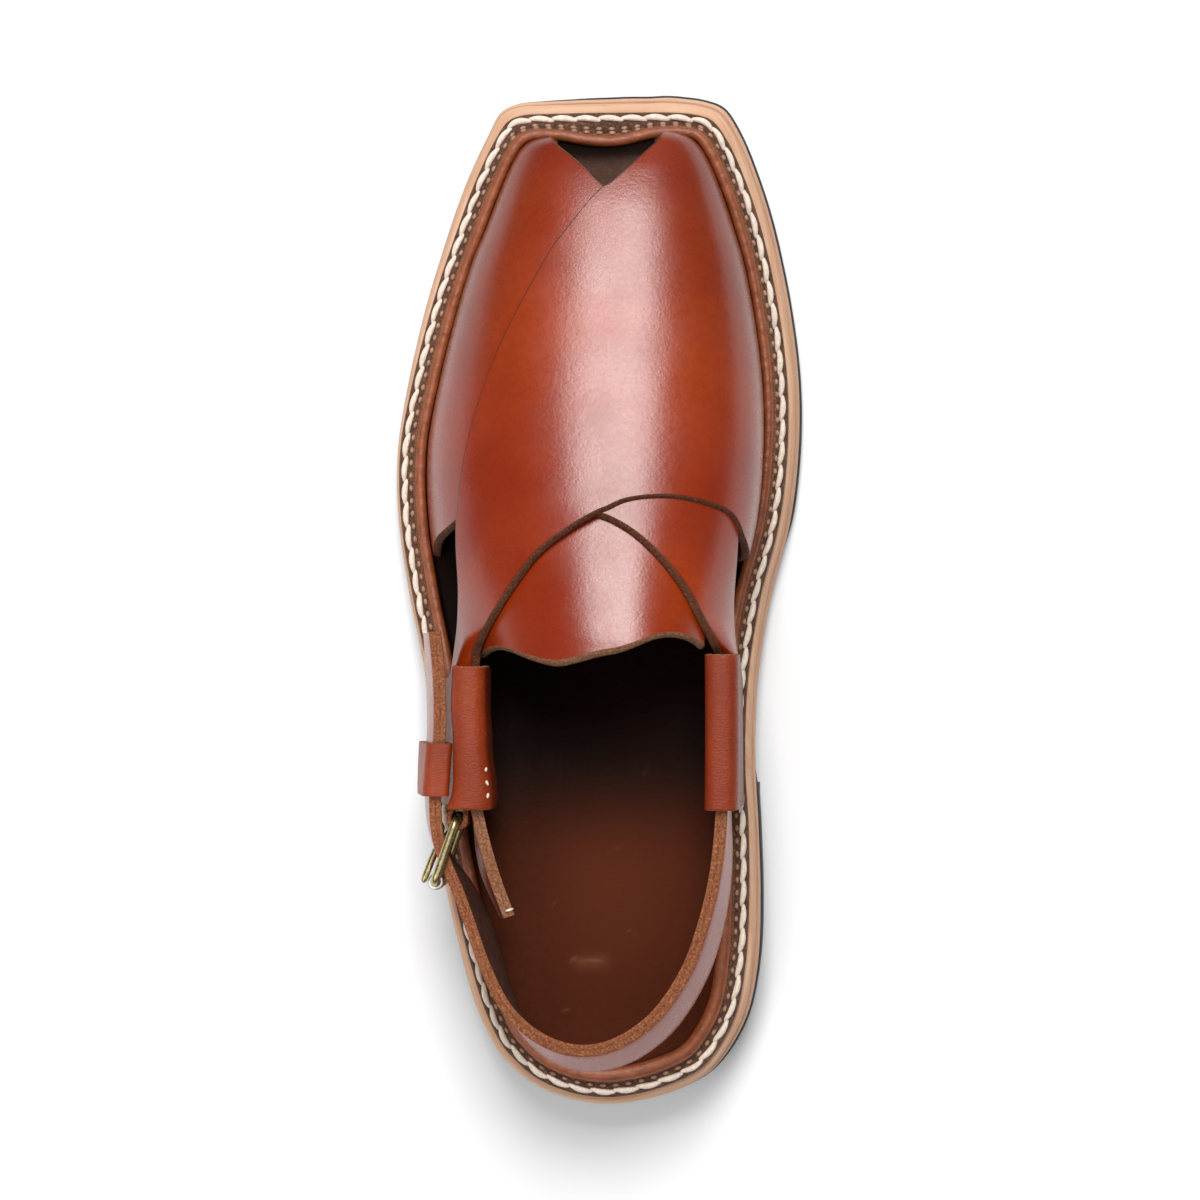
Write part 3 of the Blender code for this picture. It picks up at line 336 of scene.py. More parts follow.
def rounded_sheet(inner, outer, k=6, bulge=0.45, front_kind=1):
    """Closed solid between two grids, its rim a rounded cut edge. Returns points, faces and, a face each, 0 for the
    outer side, 1 for the cut edge and 2 for the inner side."""
    n, m = inner.shape[:2]
    verts = [outer.reshape(-1, 3), inner.reshape(-1, 3)]
    cells = n * m
    faces = quads(n, m) + [f[::-1] for f in quads(n, m, start=cells)]
    kinds = [0] * ((n - 1) * (m - 1)) + [2] * ((n - 1) * (m - 1))
    ij = [(0, j) for j in range(m)] + [(i, m - 1) for i in range(1, n)] + [(n - 1, j) for j in range(m - 2, -1, -1)]
    ij += [(i, 0) for i in range(n - 2, 0, -1)]
    mid = (inner + outer) / 2
    out_way = []
    for i, j in ij:
        t = np.zeros(3)
        if j == 0:
            t += unit(mid[i, 0] - mid[i, 1])
        if j == m - 1:
            t += unit(mid[i, m - 1] - mid[i, m - 2])
        if i == 0:
            t += unit(mid[0, j] - mid[1, j])
        if i == n - 1:
            t += unit(mid[n - 1, j] - mid[n - 2, j])
        out_way.append(unit(t))
    out_way = np.array(out_way)
    rim = np.array([i * m + j for i, j in ij])
    o, q = outer.reshape(-1, 3)[rim], inner.reshape(-1, 3)[rim]
    loops = [rim]
    base = 2 * cells
    for s in range(1, k):
        f = s / k
        ring = o * (1 - f) + q * f + out_way * (bulge * (1 - abs(2 * f - 1) ** 3))
        verts.append(ring)
        loops.append(np.arange(len(rim)) + base)
        base += len(rim)
    loops.append(rim + cells)
    for a, b in zip(loops, loops[1:]):
        for x in range(len(rim)):
            y = (x + 1) % len(rim)
            faces.append((int(a[x]), int(b[x]), int(b[y]), int(a[y])))
            kinds.append(front_kind if x >= len(rim) - n + 1 else 1)
    return np.vstack(verts), faces, kinds


def unit(v):
    v = np.asarray(v, float)
    return v / max(np.linalg.norm(v), 1e-9)


def edge_curve(rows, n):
    dense = spline(rows, 1200)
    p = last_point(dense[:, 0], dense[:, 1])
    length = np.concatenate([[0], np.cumsum(np.linalg.norm(np.diff(p, axis=0), axis=1))])
    at = np.linspace(0, length[-1], n)
    return np.stack([np.interp(at, length, dense[:, j]) for j in range(2)], 1)


def steps(m):
    """Shares 0 to 1, closer together towards both ends."""
    u = np.linspace(0, 1, m)
    return u - 0.92 * np.sin(2 * pi * u) / (2 * pi)


def patch(front, back, n, m):
    f, b = edge_curve(front, n), edge_curve(back, n)
    w = steps(m)[None, :, None]
    return f[:, None, :] * (1 - w) + b[:, None, :] * w


def edge_station(rows, s):
    dense = spline(rows, 300)
    order = dense[np.argsort(dense[:, 1])]
    return np.interp(s, order[:, 1], order[:, 0])


def lift(grid):
    v, s = grid[..., 0], grid[..., 1]
    behind = smooth(1 - (edge_station(LOW_BACK, s) - v) / 0.07)
    return LIFT * behind * smooth(s / 0.06) * smooth((1 - s) / 0.25) * smooth((0.955 - v) / 0.05)


def section_path(row, side, zf, n_wall=6, n_arc=8, n_in=4):
    """Outer face of a side piece in one section, from its foot up, over the fold and down inside."""
    y, foot, mid, top_x, top_z, width = row
    r = width / 2
    inward = -side
    rz = min(r, 4.6)
    cx, cz = top_x + inward * r, top_z - rz
    up = spline([(foot, zf), (foot + 0.12 * (mid - foot), zf + 4.2), (mid, zf + 0.45 * (cz - zf)), (top_x, cz)], n_wall)
    path = [tuple(p) for p in up]
    for i in range(1, n_arc + 1):
        a = pi * i / n_arc
        c = cos(a)
        path.append((cx - inward * r * (1 if c > 0 else -1) * abs(c) ** FOLD_POWER, cz + rz * sin(a) ** FOLD_POWER))
    for i in range(1, n_in + 1):
        path.append((top_x + inward * width, cz - (SLEEVE_DROP - rz) * i / n_in))
    return np.array(path)


def side_row(rows, y):
    flipped = sorted(rows)
    return (y,) + tuple(float(through(flipped, c, y)) for c in range(1, 6))


def side_x(rows, side, y, z):
    path = section_path(side_row(rows, y), side, float(welt_top(y)) + 0.5)[:6]
    return float(np.interp(z, path[:, 1], path[:, 0]))


def run_in(points, rows, side, depth):
    n, m = points.shape[:2]
    out = points.copy()
    for i in range(n):
        share = float(smooth((i / (n - 1) - 0.86) / 0.14))
        if share <= 0:
            continue
        for j in range(m):
            k = share * (1 - 0.9 * float(smooth((j / (m - 1) - 0.55) / 0.45)))
            x, y, z = points[i, j]
            out[i, j, 0] = x + k * (side_x(rows, side, y, z) - side * depth - x)
    return out


def resample(path, n):
    length = np.concatenate([[0], np.cumsum(np.linalg.norm(np.diff(path, axis=0), axis=1))])
    at = np.linspace(0, length[-1], n)
    return np.stack([np.interp(at, length, path[:, j]) for j in range(path.shape[1])], 1)


def side_piece(rows, side, n=70, across=90):
    ys = np.linspace(rows[0][0], rows[-1][0], n)
    outer, inner = [], []
    for y in ys:
        share = (y - ys[-1]) / (ys[0] - ys[-1])
        zf = float(welt_top(y - FRONT_SLOPE * share)) + 0.5
        path = resample(section_path(side_row(rows, y), side, zf, 24, 32, 8), across)
        for _ in range(2):
            path[1:-1] = (path[:-2] + 2 * path[1:-1] + path[2:]) / 4
        t = np.gradient(path, axis=0)
        t /= np.linalg.norm(t, axis=1, keepdims=True)
        normal = np.stack([t[:, 1], -t[:, 0]], 1) * (1 if side < 0 else -1)
        thin = path + normal * SLEEVE_T
        yy = y - FRONT_SLOPE * share * np.clip((46.0 - path[:, 1]) / (46.0 - zf), 0, 1)
        outer.append(np.stack([path[:, 0], yy, path[:, 1]], 1))
        inner.append(np.stack([thin[:, 0], yy, thin[:, 1]], 1))
    return np.array(inner), np.array(outer)


def tube(path, radius, sides, closed, up=(0, 0, 1)):
    p = np.asarray(path, float)
    t = np.roll(p, -1, 0) - np.roll(p, 1, 0) if closed else np.gradient(p, axis=0)
    t /= np.linalg.norm(t, axis=1, keepdims=True)
    up = np.broadcast_to(np.asarray(up, float), p.shape)
    a = np.cross(t, up)
    a /= np.linalg.norm(a, axis=1, keepdims=True)
    b = np.cross(a, t)
    r = np.broadcast_to(np.asarray(radius, float).reshape(-1, 1) if np.ndim(radius) else np.array([[radius]]), (len(p), 1))
    w = 2 * pi * (np.arange(sides) + 0.5) / sides
    grid = p[:, None] + r[:, :, None] * (np.cos(w)[None, :, None] * a[:, None] + np.sin(w)[None, :, None] * b[:, None])
    faces = quads(len(p), sides, wrap_rows=closed, wrap_cols=True)
    if not closed:
        faces += [tuple(range(sides))[::-1], tuple((len(p) - 1) * sides + i for i in range(sides))]
    return grid.reshape(-1, 3), faces


def ring(n, dist):
    """Plan points round the whole shoe a distance inside the welt's edge, n stations a side."""
    v = np.linspace(0, 1, n)
    f = dist if callable(dist) else (lambda r: dist)
    return np.vstack([inset(-1, v, f), inset(1, v, f)[-2:0:-1]])


def stack(rings, n):
    """Closed layer through rings of (distance inside the welt's edge, height over the underside), with flat caps."""
    verts = []
    for dist, z in rings:
        xy = ring(n, dist)
        verts.append(np.column_stack([xy, underside(xy[:, 1]) + z]))
    k = len(verts[0])
    faces = quads(len(rings), k, wrap_cols=True)
    for start, flip in ((0, True), ((len(rings) - 1) * k, False)):
        for i in range(n - 1):
            loop = []
            for q in (i, i + 1, (k - i - 1) % k, (k - i) % k):
                if q not in loop:
                    loop.append(q)
            faces.append(tuple(start + q for q in (loop[::-1] if flip else loop)))
    return np.vstack(verts), faces


# ---------------------------------------------------------------- materials
def nodes_of(name):
    mat = bpy.data.materials.new(name)
    mat.use_nodes = True
    nt = mat.node_tree
    return mat, nt, nt.nodes["Principled BSDF"]


class Net:
    def __init__(self, name, rough=0.5, metal=0.0, coat=0.0, coat_rough=0.2, spec=0.5):
        self.mat, self.nt, self.bsdf = nodes_of(name)
        self.bsdf.inputs["Metallic"].default_value = metal
        self.bsdf.inputs["Roughness"].default_value = rough
        self.bsdf.inputs["Coat Weight"].default_value = coat
        self.bsdf.inputs["Coat Roughness"].default_value = coat_rough
        self.bsdf.inputs["Specular IOR Level"].default_value = spec
        self.co = self.add("ShaderNodeTexCoord").outputs["Object"]

    def add(self, kind, **inputs):
        node = self.nt.nodes.new(kind)
        for key, value in inputs.items():
            self.put(node.inputs[key.replace("_", " ")], value)
        return node

    def put(self, socket, value):
        if isinstance(value, bpy.types.NodeSocket):
            self.nt.links.new(value, socket)
        else:
            socket.default_value = value

    def stretch(self, x, y, z, source=None):
        m = self.add("ShaderNodeMapping", Scale=(x, y, z))
        self.put(m.inputs["Vector"], source or self.co)
        return m.outputs[0]

    def noise(self, scale, detail=4.0, rough=0.55, source=None, lo=0.35, hi=0.65, a=0.0, b=1.0):
        n = self.add("ShaderNodeTexNoise", Scale=scale, Detail=detail, Roughness=rough)
        self.put(n.inputs["Vector"], source or self.co)
        return self.map(n.outputs["Fac"], lo, hi, a, b)

    def voronoi(self, scale, feature="F1", source=None, a=0.0, b=1.0, lo=0.0, hi=1.0):
        n = self.nt.nodes.new("ShaderNodeTexVoronoi")
        n.feature = feature
        n.inputs["Scale"].default_value = scale
        self.put(n.inputs["Vector"], source or self.co)
        return self.map(n.outputs["Distance"], lo, hi, a, b)

    def map(self, value, lo, hi, a=0.0, b=1.0):
        m = self.add("ShaderNodeMapRange")
        m.clamp = True
        for key, v in (("Value", value), ("From Min", lo), ("From Max", hi), ("To Min", a), ("To Max", b)):
            self.put(m.inputs[key], v)
        return m.outputs[0]

    def mix(self, fac, a, b):
        m = self.nt.nodes.new("ShaderNodeMix")
        m.data_type = "RGBA"
        self.put(m.inputs[0], fac)
        for socket, v in ((m.inputs[6], a), (m.inputs[7], b)):
            self.put(socket, (*v, 1) if isinstance(v, tuple) and len(v) == 3 else v)
        return m.outputs[2]

    def math(self, op, a, b=0.0):
        m = self.nt.nodes.new("ShaderNodeMath")
        m.operation = op
        self.put(m.inputs[0], a)
        self.put(m.inputs[1], b)
        return m.outputs[0]

    def attr(self, name):
        n = self.nt.nodes.new("ShaderNodeAttribute")
        n.attribute_name = name
        return n.outputs["Fac"]

    def colour(self, socket):
        self.put(self.bsdf.inputs["Base Color"], (*socket, 1) if isinstance(socket, tuple) else socket)

    def rough(self, socket):
        self.put(self.bsdf.inputs["Roughness"], socket)

    def bump(self, height, strength, distance):
        b = self.add("ShaderNodeBump", Strength=strength, Distance=distance)
        self.put(b.inputs["Height"], height)
        last_bump = getattr(self, "_bump", None)
        if last_bump is not None:
            self.nt.links.new(last_bump, b.inputs["Normal"])
        self._bump = b.outputs[0]
        self.nt.links.new(self._bump, self.bsdf.inputs["Normal"])


def leather(name="leather_brown_smooth"):
    m = Net(name, rough=0.3, spec=0.6)
    broad = m.noise(20, 3, 0.5)
    fine = m.noise(420, 5, 0.6)
    c = m.mix(broad, (0.22, 0.0165, 0.0003), (0.325, 0.036, 0.0018))
    c = m.mix(m.math("MULTIPLY", fine, 0.3), c, (0.19, 0.013, 0.0005))
    # painted shade: the edge attribute darkens the straps along their cut edges and where they come down beside the
    # bead
    c = m.mix(m.attr("edge"), c, (0.06, 0.009, 0.003))
    # painted shade: the upper goes darker towards the toe and down its flanks
    c = m.mix(m.attr("painted_toe_and_flank_shade"), c, (0.075, 0.008, 0.001))
    m.colour(c)
    m.rough(m.math("ADD", m.noise(60, 3, 0.5, a=0.0, b=0.05), m.noise(900, 3, 0.5, a=0.245, b=0.285)))
    m.bump(m.voronoi(1300, lo=0.0, hi=0.6), 0.09, 0.00012)
    m.bump(m.noise(760, 5, 0.6, lo=0.3, hi=0.7), 0.15, 0.00013)
    m.bump(m.noise(45, 3, 0.5), 0.10, 0.0006)
    return m.mat


def grained_leather(name="leather_brown_grained"):
    """The folded sleeves and the keeper: same hide, less polished, its grain running aslant."""
    m = Net(name, rough=0.4, spec=0.34)
    broad = m.noise(30, 3, 0.5)
    fine = m.noise(500, 5, 0.6)
    c = m.mix(broad, (0.205, 0.021, 0.001), (0.31, 0.040, 0.0035))
    c = m.mix(m.math("MULTIPLY", fine, 0.35), c, (0.19, 0.018, 0.002))
    # painted shadow: the edge attribute darkens the side pieces' walls under the folds
    c = m.mix(m.attr("edge"), c, (0.10, 0.020, 0.007))
    m.colour(c)
    turned = m.add("ShaderNodeMapping", Rotation=(0.0, 0.0, 0.7), Scale=(0.7, 2.6, 1.0))
    m.put(turned.inputs["Vector"], m.co)
    slant = m.noise(950, 4, 0.6, source=turned.outputs[0], lo=0.36, hi=0.64)
    m.rough(m.noise(900, 3, 0.5, a=0.36, b=0.48))
    m.bump(slant, 0.5, 0.00022)
    m.bump(m.voronoi(1100, lo=0.0, hi=0.6), 0.15, 0.00014)
    return m.mat


def cut_edge(name="cut_edge", light=(0.36, 0.125, 0.045), dark=(0.11, 0.032, 0.012)):
    m = Net(name, rough=0.85, spec=0.25)
    fibre = m.noise(1500, 6, 0.75, lo=0.4, hi=0.62)
    clump = m.noise(420, 4, 0.6, lo=0.38, hi=0.62)
    c = m.mix(fibre, dark, light)
    c = m.mix(m.math("MULTIPLY", clump, 0.55), c, (light[0] * 0.55, light[1] * 0.5, light[2] * 0.45))
    m.colour(c)
    m.bump(fibre, 0.8, 0.0004)
    m.bump(clump, 0.6, 0.0005)
    return m.mat


def suede(name="flesh_side", base=(0.075, 0.026, 0.013), light=(0.12, 0.045, 0.022)):
    m = Net(name, rough=0.9, spec=0.2)
    m.colour(m.mix(m.noise(300, 5, 0.6), base, light))
    m.bump(m.noise(1800, 5, 0.7), 0.6, 0.0003)
    return m.mat


def thread(name="thread_cream", base=(0.88, 0.75, 0.63), dark=(0.66, 0.50, 0.38)):
    m = Net(name, rough=0.8, spec=0.25)
    strands = m.noise(1600, 4, 0.6, source=m.stretch(1, 0.45, 1), lo=0.4, hi=0.6)
    m.colour(m.mix(m.math("MULTIPLY", strands, 0.45), base, dark))
    m.bump(strands, 0.5, 0.0003)
    return m.mat


def welt_leather():
    m = Net("welt_dark", rough=0.62, spec=0.4)
    grain = m.noise(900, 6, 0.7, lo=0.38, hi=0.62)
    c = m.mix(grain, (0.06, 0.024, 0.013), (0.20, 0.092, 0.055))
    c = m.mix(m.math("MULTIPLY", m.noise(160, 3, 0.5), 0.5), c, (0.20, 0.095, 0.057))
    m.colour(c)
    m.bump(grain, 0.9, 0.0005)
    m.bump(m.voronoi(700, lo=0.0, hi=0.7), 0.5, 0.0004)
    return m.mat


def tan_leather():
    m = Net("tan_layers", rough=0.62, spec=0.35)
    lines = m.noise(420, 4, 0.6, source=m.stretch(0.12, 0.12, 2.4), lo=0.36, hi=0.64)
    blot = m.noise(60, 3, 0.5)
    c = m.mix(lines, (0.585, 0.305, 0.17), (0.715, 0.445, 0.285))
    c = m.mix(m.math("MULTIPLY", blot, 0.35), c, (0.65, 0.385, 0.25))
    c = m.mix(m.math("MULTIPLY", m.attr("seam"), 0.55), c, (0.33, 0.15, 0.07))
    m.colour(c)
    m.bump(lines, 0.35, 0.0002)
    m.bump(m.noise(1500, 4, 0.6), 0.25, 0.00015)
    return m.mat


def rubber():
    m = Net("rubber_black", rough=0.6, spec=0.4)
    n = m.noise(1200, 4, 0.6)
    m.colour(m.mix(n, (0.012, 0.012, 0.014), (0.03, 0.03, 0.033)))
    m.bump(n, 0.35, 0.0002)
    m.bump(m.noise(120, 3, 0.5), 0.2, 0.0004)
    return m.mat


def footbed():
    m = Net("footbed_dark", rough=0.5, spec=0.03)
    broad = m.noise(14, 3, 0.55)
    fine = m.noise(500, 5, 0.65)
    c = m.mix(broad, (0.034, 0.0070, 0.0022), (0.054, 0.0110, 0.0038))
    c = m.mix(m.math("MULTIPLY", fine, 0.4), c, (0.062, 0.016, 0.0065))
    # redder tone in the heel's middle, partly the leather's own colour and partly a painted sheen
    c = m.mix(m.attr("redder_heel_and_painted_sheen"), c, (0.092, 0.020, 0.0080))
    c = m.mix(m.attr("pale"), c, m.mix(fine, (0.085, 0.043, 0.030), (0.115, 0.062, 0.046)))
    # painted shadow: the insole goes near black under the crossed straps and in a band just inside the bead at the toe
    c = m.mix(m.math("MULTIPLY", m.attr("painted_shadow"), 0.93), c, (0.004, 0.0014, 0.0009))
    c = m.mix(m.attr("scuff"), c, (0.36, 0.15, 0.085))
    m.colour(c)
    m.rough(m.math("ADD", m.noise(35, 4, 0.6, a=0.40, b=0.52), m.math("MULTIPLY", m.attr("scuff"), 0.25)))
    m.bump(m.noise(1100, 5, 0.65), 0.3, 0.0002)
    m.bump(m.noise(140, 4, 0.6), 0.12, 0.0004)
    return m.mat


def bead_leather():
    m = Net("bead_leather", rough=0.33, spec=0.5)
    n = m.noise(260, 4, 0.6)
    c = m.mix(n, (0.20, 0.046, 0.013), (0.30, 0.078, 0.024))
    # painted shade: the edge attribute darkens the bead's lower side
    c = m.mix(m.attr("edge"), c, (0.09, 0.026, 0.011))
    m.colour(c)
    m.bump(m.noise(1300, 5, 0.65), 0.35, 0.0002)
    m.bump(m.noise(180, 3, 0.5), 0.25, 0.0005)
    return m.mat


def brass(name="brass_antique", dark=(0.36, 0.29, 0.13), light=(0.56, 0.47, 0.25)):
    m = Net(name, rough=0.3, metal=1.0)
    n = m.noise(350, 4, 0.6)
    c = m.mix(n, dark, light)
    m.colour(c)
    m.rough(m.noise(700, 4, 0.6, a=0.22, b=0.4))
    m.bump(m.noise(1500, 4, 0.6), 0.15, 0.0001)
    return m.mat


LEATHER, GRAINED, FLESH = leather(), grained_leather(), suede()
EDGE_MAT = cut_edge(light=(0.62, 0.235, 0.105), dark=(0.20, 0.05, 0.018))
EDGE_LIGHT = cut_edge("cut_edge_light", (0.62, 0.29, 0.15), (0.22, 0.075, 0.032))
EDGE_DARK = cut_edge("cut_edge_dark", (0.25, 0.085, 0.038), (0.062, 0.018, 0.009))
LINING = suede("lining_dark", (0.05, 0.017, 0.009), (0.085, 0.03, 0.016))
CREAM = thread()
KNOTS = thread("thread_brown", (0.47, 0.27, 0.18), (0.25, 0.125, 0.08))
WELT_MAT, TAN_MAT, RUBBER_MAT, FOOT_MAT, BEAD_MAT, BRASS_MAT = welt_leather(), tan_leather(), rubber(), footbed(), bead_leather(), brass()
ROLLER_MAT = brass("roller_pale", (0.55, 0.52, 0.45), (0.75, 0.72, 0.66))
EDGE_PALE = cut_edge("cut_edge_pale", (0.44, 0.22, 0.12), (0.17, 0.065, 0.03))


# ---------------------------------------------------------------- the sole
N = 360
T1, T2, T3 = OUTSOLE_T, OUTSOLE_T + LAYER_T, OUTSOLE_T + 2 * LAYER_T


def out_by(rim_share, flare_share, more=0.0):
    return lambda r: -(rim_share * r[..., 2] + flare_share * r[..., 3] + more)


def wide(rim_share, flare_lat, flare_med, more=0.0):
    """Outward by shares of rim and flare, and a little more where the outsole has its lip."""
    def f(row):
        t = lip(row) / 1.05
        return -(rim_share * row[..., 2] + (flare_lat + (flare_med - flare_lat) * t) * row[..., 3] + 0.45 * t + more)
    return f


def tucked(more=0.0):
    def f(row):
        y = row[..., 1]
        tuck = WAIST_TUCK * smooth((y + 58) / 22) * smooth((28 - y) / 30) * (row[..., 0] > 0)
        return -(row[..., 2] + row[..., 3] + lip(row) + more) + tuck
    return f


def build_sole():
    v, f = stack([(tucked(-0.6), 0.0), (tucked(-0.1), 0.25), (tucked(0), 0.8), (tucked(0), T1 - 0.5), (tucked(-0.25), T1)], N)
    done(add_mesh("outsole_fine", v, f, [RUBBER_MAT], smooth_angle=40), "rubber_black", "outsole")
    rows = [(0.94, 0.94, T1 + 0.15), (0.97, 0.97, T1 + 0.6), (0.86, 0.86, T1 + 2.2), (0.72, 0.72, T2 - 0.6), (0.66, 0.66, T2 - 0.05)]
    v, f = stack([(wide(1, s, t, -0.15 if i in (0, 4) else 0.0), z) for i, (s, t, z) in enumerate(rows)], N)
    k = len(v) // 5
    seam = np.repeat([1.0, 0.15, 0.0, 0.1, 1.0], k)
    done(add_mesh("midsole_lower_fine", v, f, [TAN_MAT], smooth_angle=50, attrs={"seam": seam}), "leather_tan", "midsole_lower")
    rows = [(1, 0.62, T2 + 0.2, -0.15), (1, 0.60, T2 + 0.6, 0), (1, 0.42, T2 + 2.0, 0), (1, 0.22, T3 - 0.9, 0), (1, 0.10, T3 - 0.3, -0.1), (0.9, 0.0, T3, -0.3), (0.2, 0, T3, 0), (0.0, 0, T3, -1.0)]
    v, f = stack([(out_by(a, s, m), z) for a, s, z, m in rows], N)
    k = len(v) // len(rows)
    seam = np.repeat([1.0, 0.15, 0.0, 0.0, 0.0, 0.0, 0.0, 0.3], k)
    done(add_mesh("midsole_upper_fine", v, f, [TAN_MAT], smooth_angle=50, attrs={"seam": seam}), "leather_tan", "midsole_upper")
    # heel block
    sv = np.linspace(0, 1, 1400)
    lat, med = inset(-1, sv, out_by(1, 1.0)), inset(1, sv, out_by(1, 1.0))
    rows = [i for i in range(0, 1400, 2) if lat[i, 1] < HEEL_Y - 0.6 and med[i, 1] < HEEL_Y - 0.6]
    shares = ((0.0, -0.5), (0.06, 0.0), (0.95, 0.0), (1.0, -0.15))   # height share, outward
    loops = []
    for share, outward in shares:
        edge = lambda r, outward=outward: -(r[..., 2] + r[..., 3] + lip(r) + outward)
        a, b = inset(-1, sv[rows], edge), inset(1, sv[rows], edge)
        fa, fb = a[-1].copy(), b[-1].copy()
        fa[1] = fb[1] = HEEL_Y
        front = np.array([fa * (1 - t) + fb * t + np.array([0, -1.6 * sin(pi * t)]) for t in np.linspace(0, 1, 24)])
        loop = np.vstack([a, front, b[::-1][:-1]])
        top = underside(loop[:, 1]) - 0.15
        loops.append(np.column_stack([loop, top * share]))
    k = len(loops[0])
    verts = np.vstack(loops)
    faces = quads(len(loops), k, wrap_cols=True)
    half = len(rows)
    for start, flip in ((0, True), ((len(loops) - 1) * k, False)):
        for i in range(half - 1):
            j0, j1 = (k - i) % k, (k - i - 1) % k
            q = [i, i + 1, j1, j0]
            q = [x for n_, x in enumerate(q) if x not in q[:n_]]
            faces.append(tuple(start + x for x in (q[::-1] if flip else q)))
        q = list(range(half - 1, half + 24 + 1))
        faces.append(tuple(start + x for x in (q[::-1] if flip else q)))
    heel = add_mesh("heel_fine", verts, faces, [RUBBER_MAT], smooth_angle=40)
    fix_normals(heel)
    done(heel, "rubber_black", "heel")


def build_welt():
    # cross-section of the welt: distance inside its edge as a share of the band, and height
    def at(mm_out, share=0.0, mm_in=0.0):
        return lambda r: mm_out + share * (r[..., 4] - 2.0) + mm_in
    rows = [(0.15, 0, T3 + 0.12), (0.0, 0, T3 + 0.6), (0.0, 0, T3 + 2.3), (0.25, 0, T3 + 2.8), (0.75, 0, T3 + 2.98), (1.05, 0, T3 + 2.7), (1.7, 0, T3 + 2.35),
            (2.35, 0, T3 + 2.65), (2.6, 0, T3 + 2.9), (2.8, 0.25, T3 + 2.86), (2.6, 0.55, T3 + 2.8), (1.4, 1.0, T3 + 2.95), (2.0, 1.0, T3 + 2.95), (3.4, 1.0, T3 + 2.9), (3.4, 1.0, T3 + 0.3)]
    verts = []
    for mm, share, z in rows:
        xy = ring(N, at(mm, share))
        verts.append(np.column_stack([xy, underside(xy[:, 1]) + z]))
    k = len(verts[0])
    faces = quads(len(rows), k, wrap_rows=True, wrap_cols=True)
    obj = add_mesh("welt_fine", np.vstack(verts), faces, [WELT_MAT], smooth_angle=60)
    fix_normals(obj)
    done(obj, "leather_dark", "welt")


def build_bead():
    heel = lambda y: smooth((-88 - y) / 22)
    xy = ring(2 * N, lambda r: r[..., 4] + 0.35 * heel(r[..., 1]))
    s = np.concatenate([[0], np.cumsum(np.linalg.norm(np.diff(xy, axis=0), axis=1))])
    z = underside(xy[:, 1]) + T3 + WELT_T + GAP + BEAD_R - 0.15
    wave = 0.10 * np.sin(s / 3.75 * 2 * pi) + 0.08 * np.sin(s / 23.0) + 0.05 * np.sin(s / 9.1 + 1.0)
    path = np.column_stack([xy, z + 0.4 * wave])
    sides = 20
    verts, faces = tube(path, BEAD_R + 0.1 + 0.5 * heel(xy[:, 1]) + 0.06 * wave, sides, True)
    w = 2 * pi * (np.arange(sides) + 0.5) / sides
    # painted shade: the bead's lower sides, where it spreads into its flange, are coloured darker through the edge
    # attribute
    low = np.tile(np.clip(-np.sin(w), 0, 1), len(path))
    edge = np.clip(low * 1.6 - 0.5, 0, 1)
    obj = add_mesh("piping_fine", verts, faces, [BEAD_MAT], attrs={"edge": edge})
    fix_normals(obj)
    done(obj, "leather_edge", "piping")
    # pale cut edge of its flange, beside the bead
    flange = []
    for mm, dz in ((2.75, 2.86), (2.7, 3.15), (2.35, 3.3), (1.9, 3.3), (1.5, 3.0)):
        q = ring(N, lambda r, mm=mm: r[..., 4] - mm + 0.4)
        flange.append(np.column_stack([q, underside(q[:, 1]) + T3 + dz + 0.02]))
    obj = add_mesh("piping_flange", np.vstack(flange), quads(5, len(flange[0]), wrap_rows=True, wrap_cols=True), [EDGE_PALE])
    fix_normals(obj)
    done(obj, "leather_edge")


def loop_path(dist, n=4000):
    v = np.linspace(0, 1, n // 2)
    xy = ring(n // 2, dist)
    s = np.concatenate([[0], np.cumsum(np.linalg.norm(np.diff(np.vstack([xy, xy[:1]]), axis=0), axis=1))])
    return np.vstack([xy, xy[:1]]), s


def at_length(xy, s, at):
    at = np.mod(at, s[-1])
    return np.stack([np.interp(at, s, xy[:, 0]), np.interp(at, s, xy[:, 1])], -1)


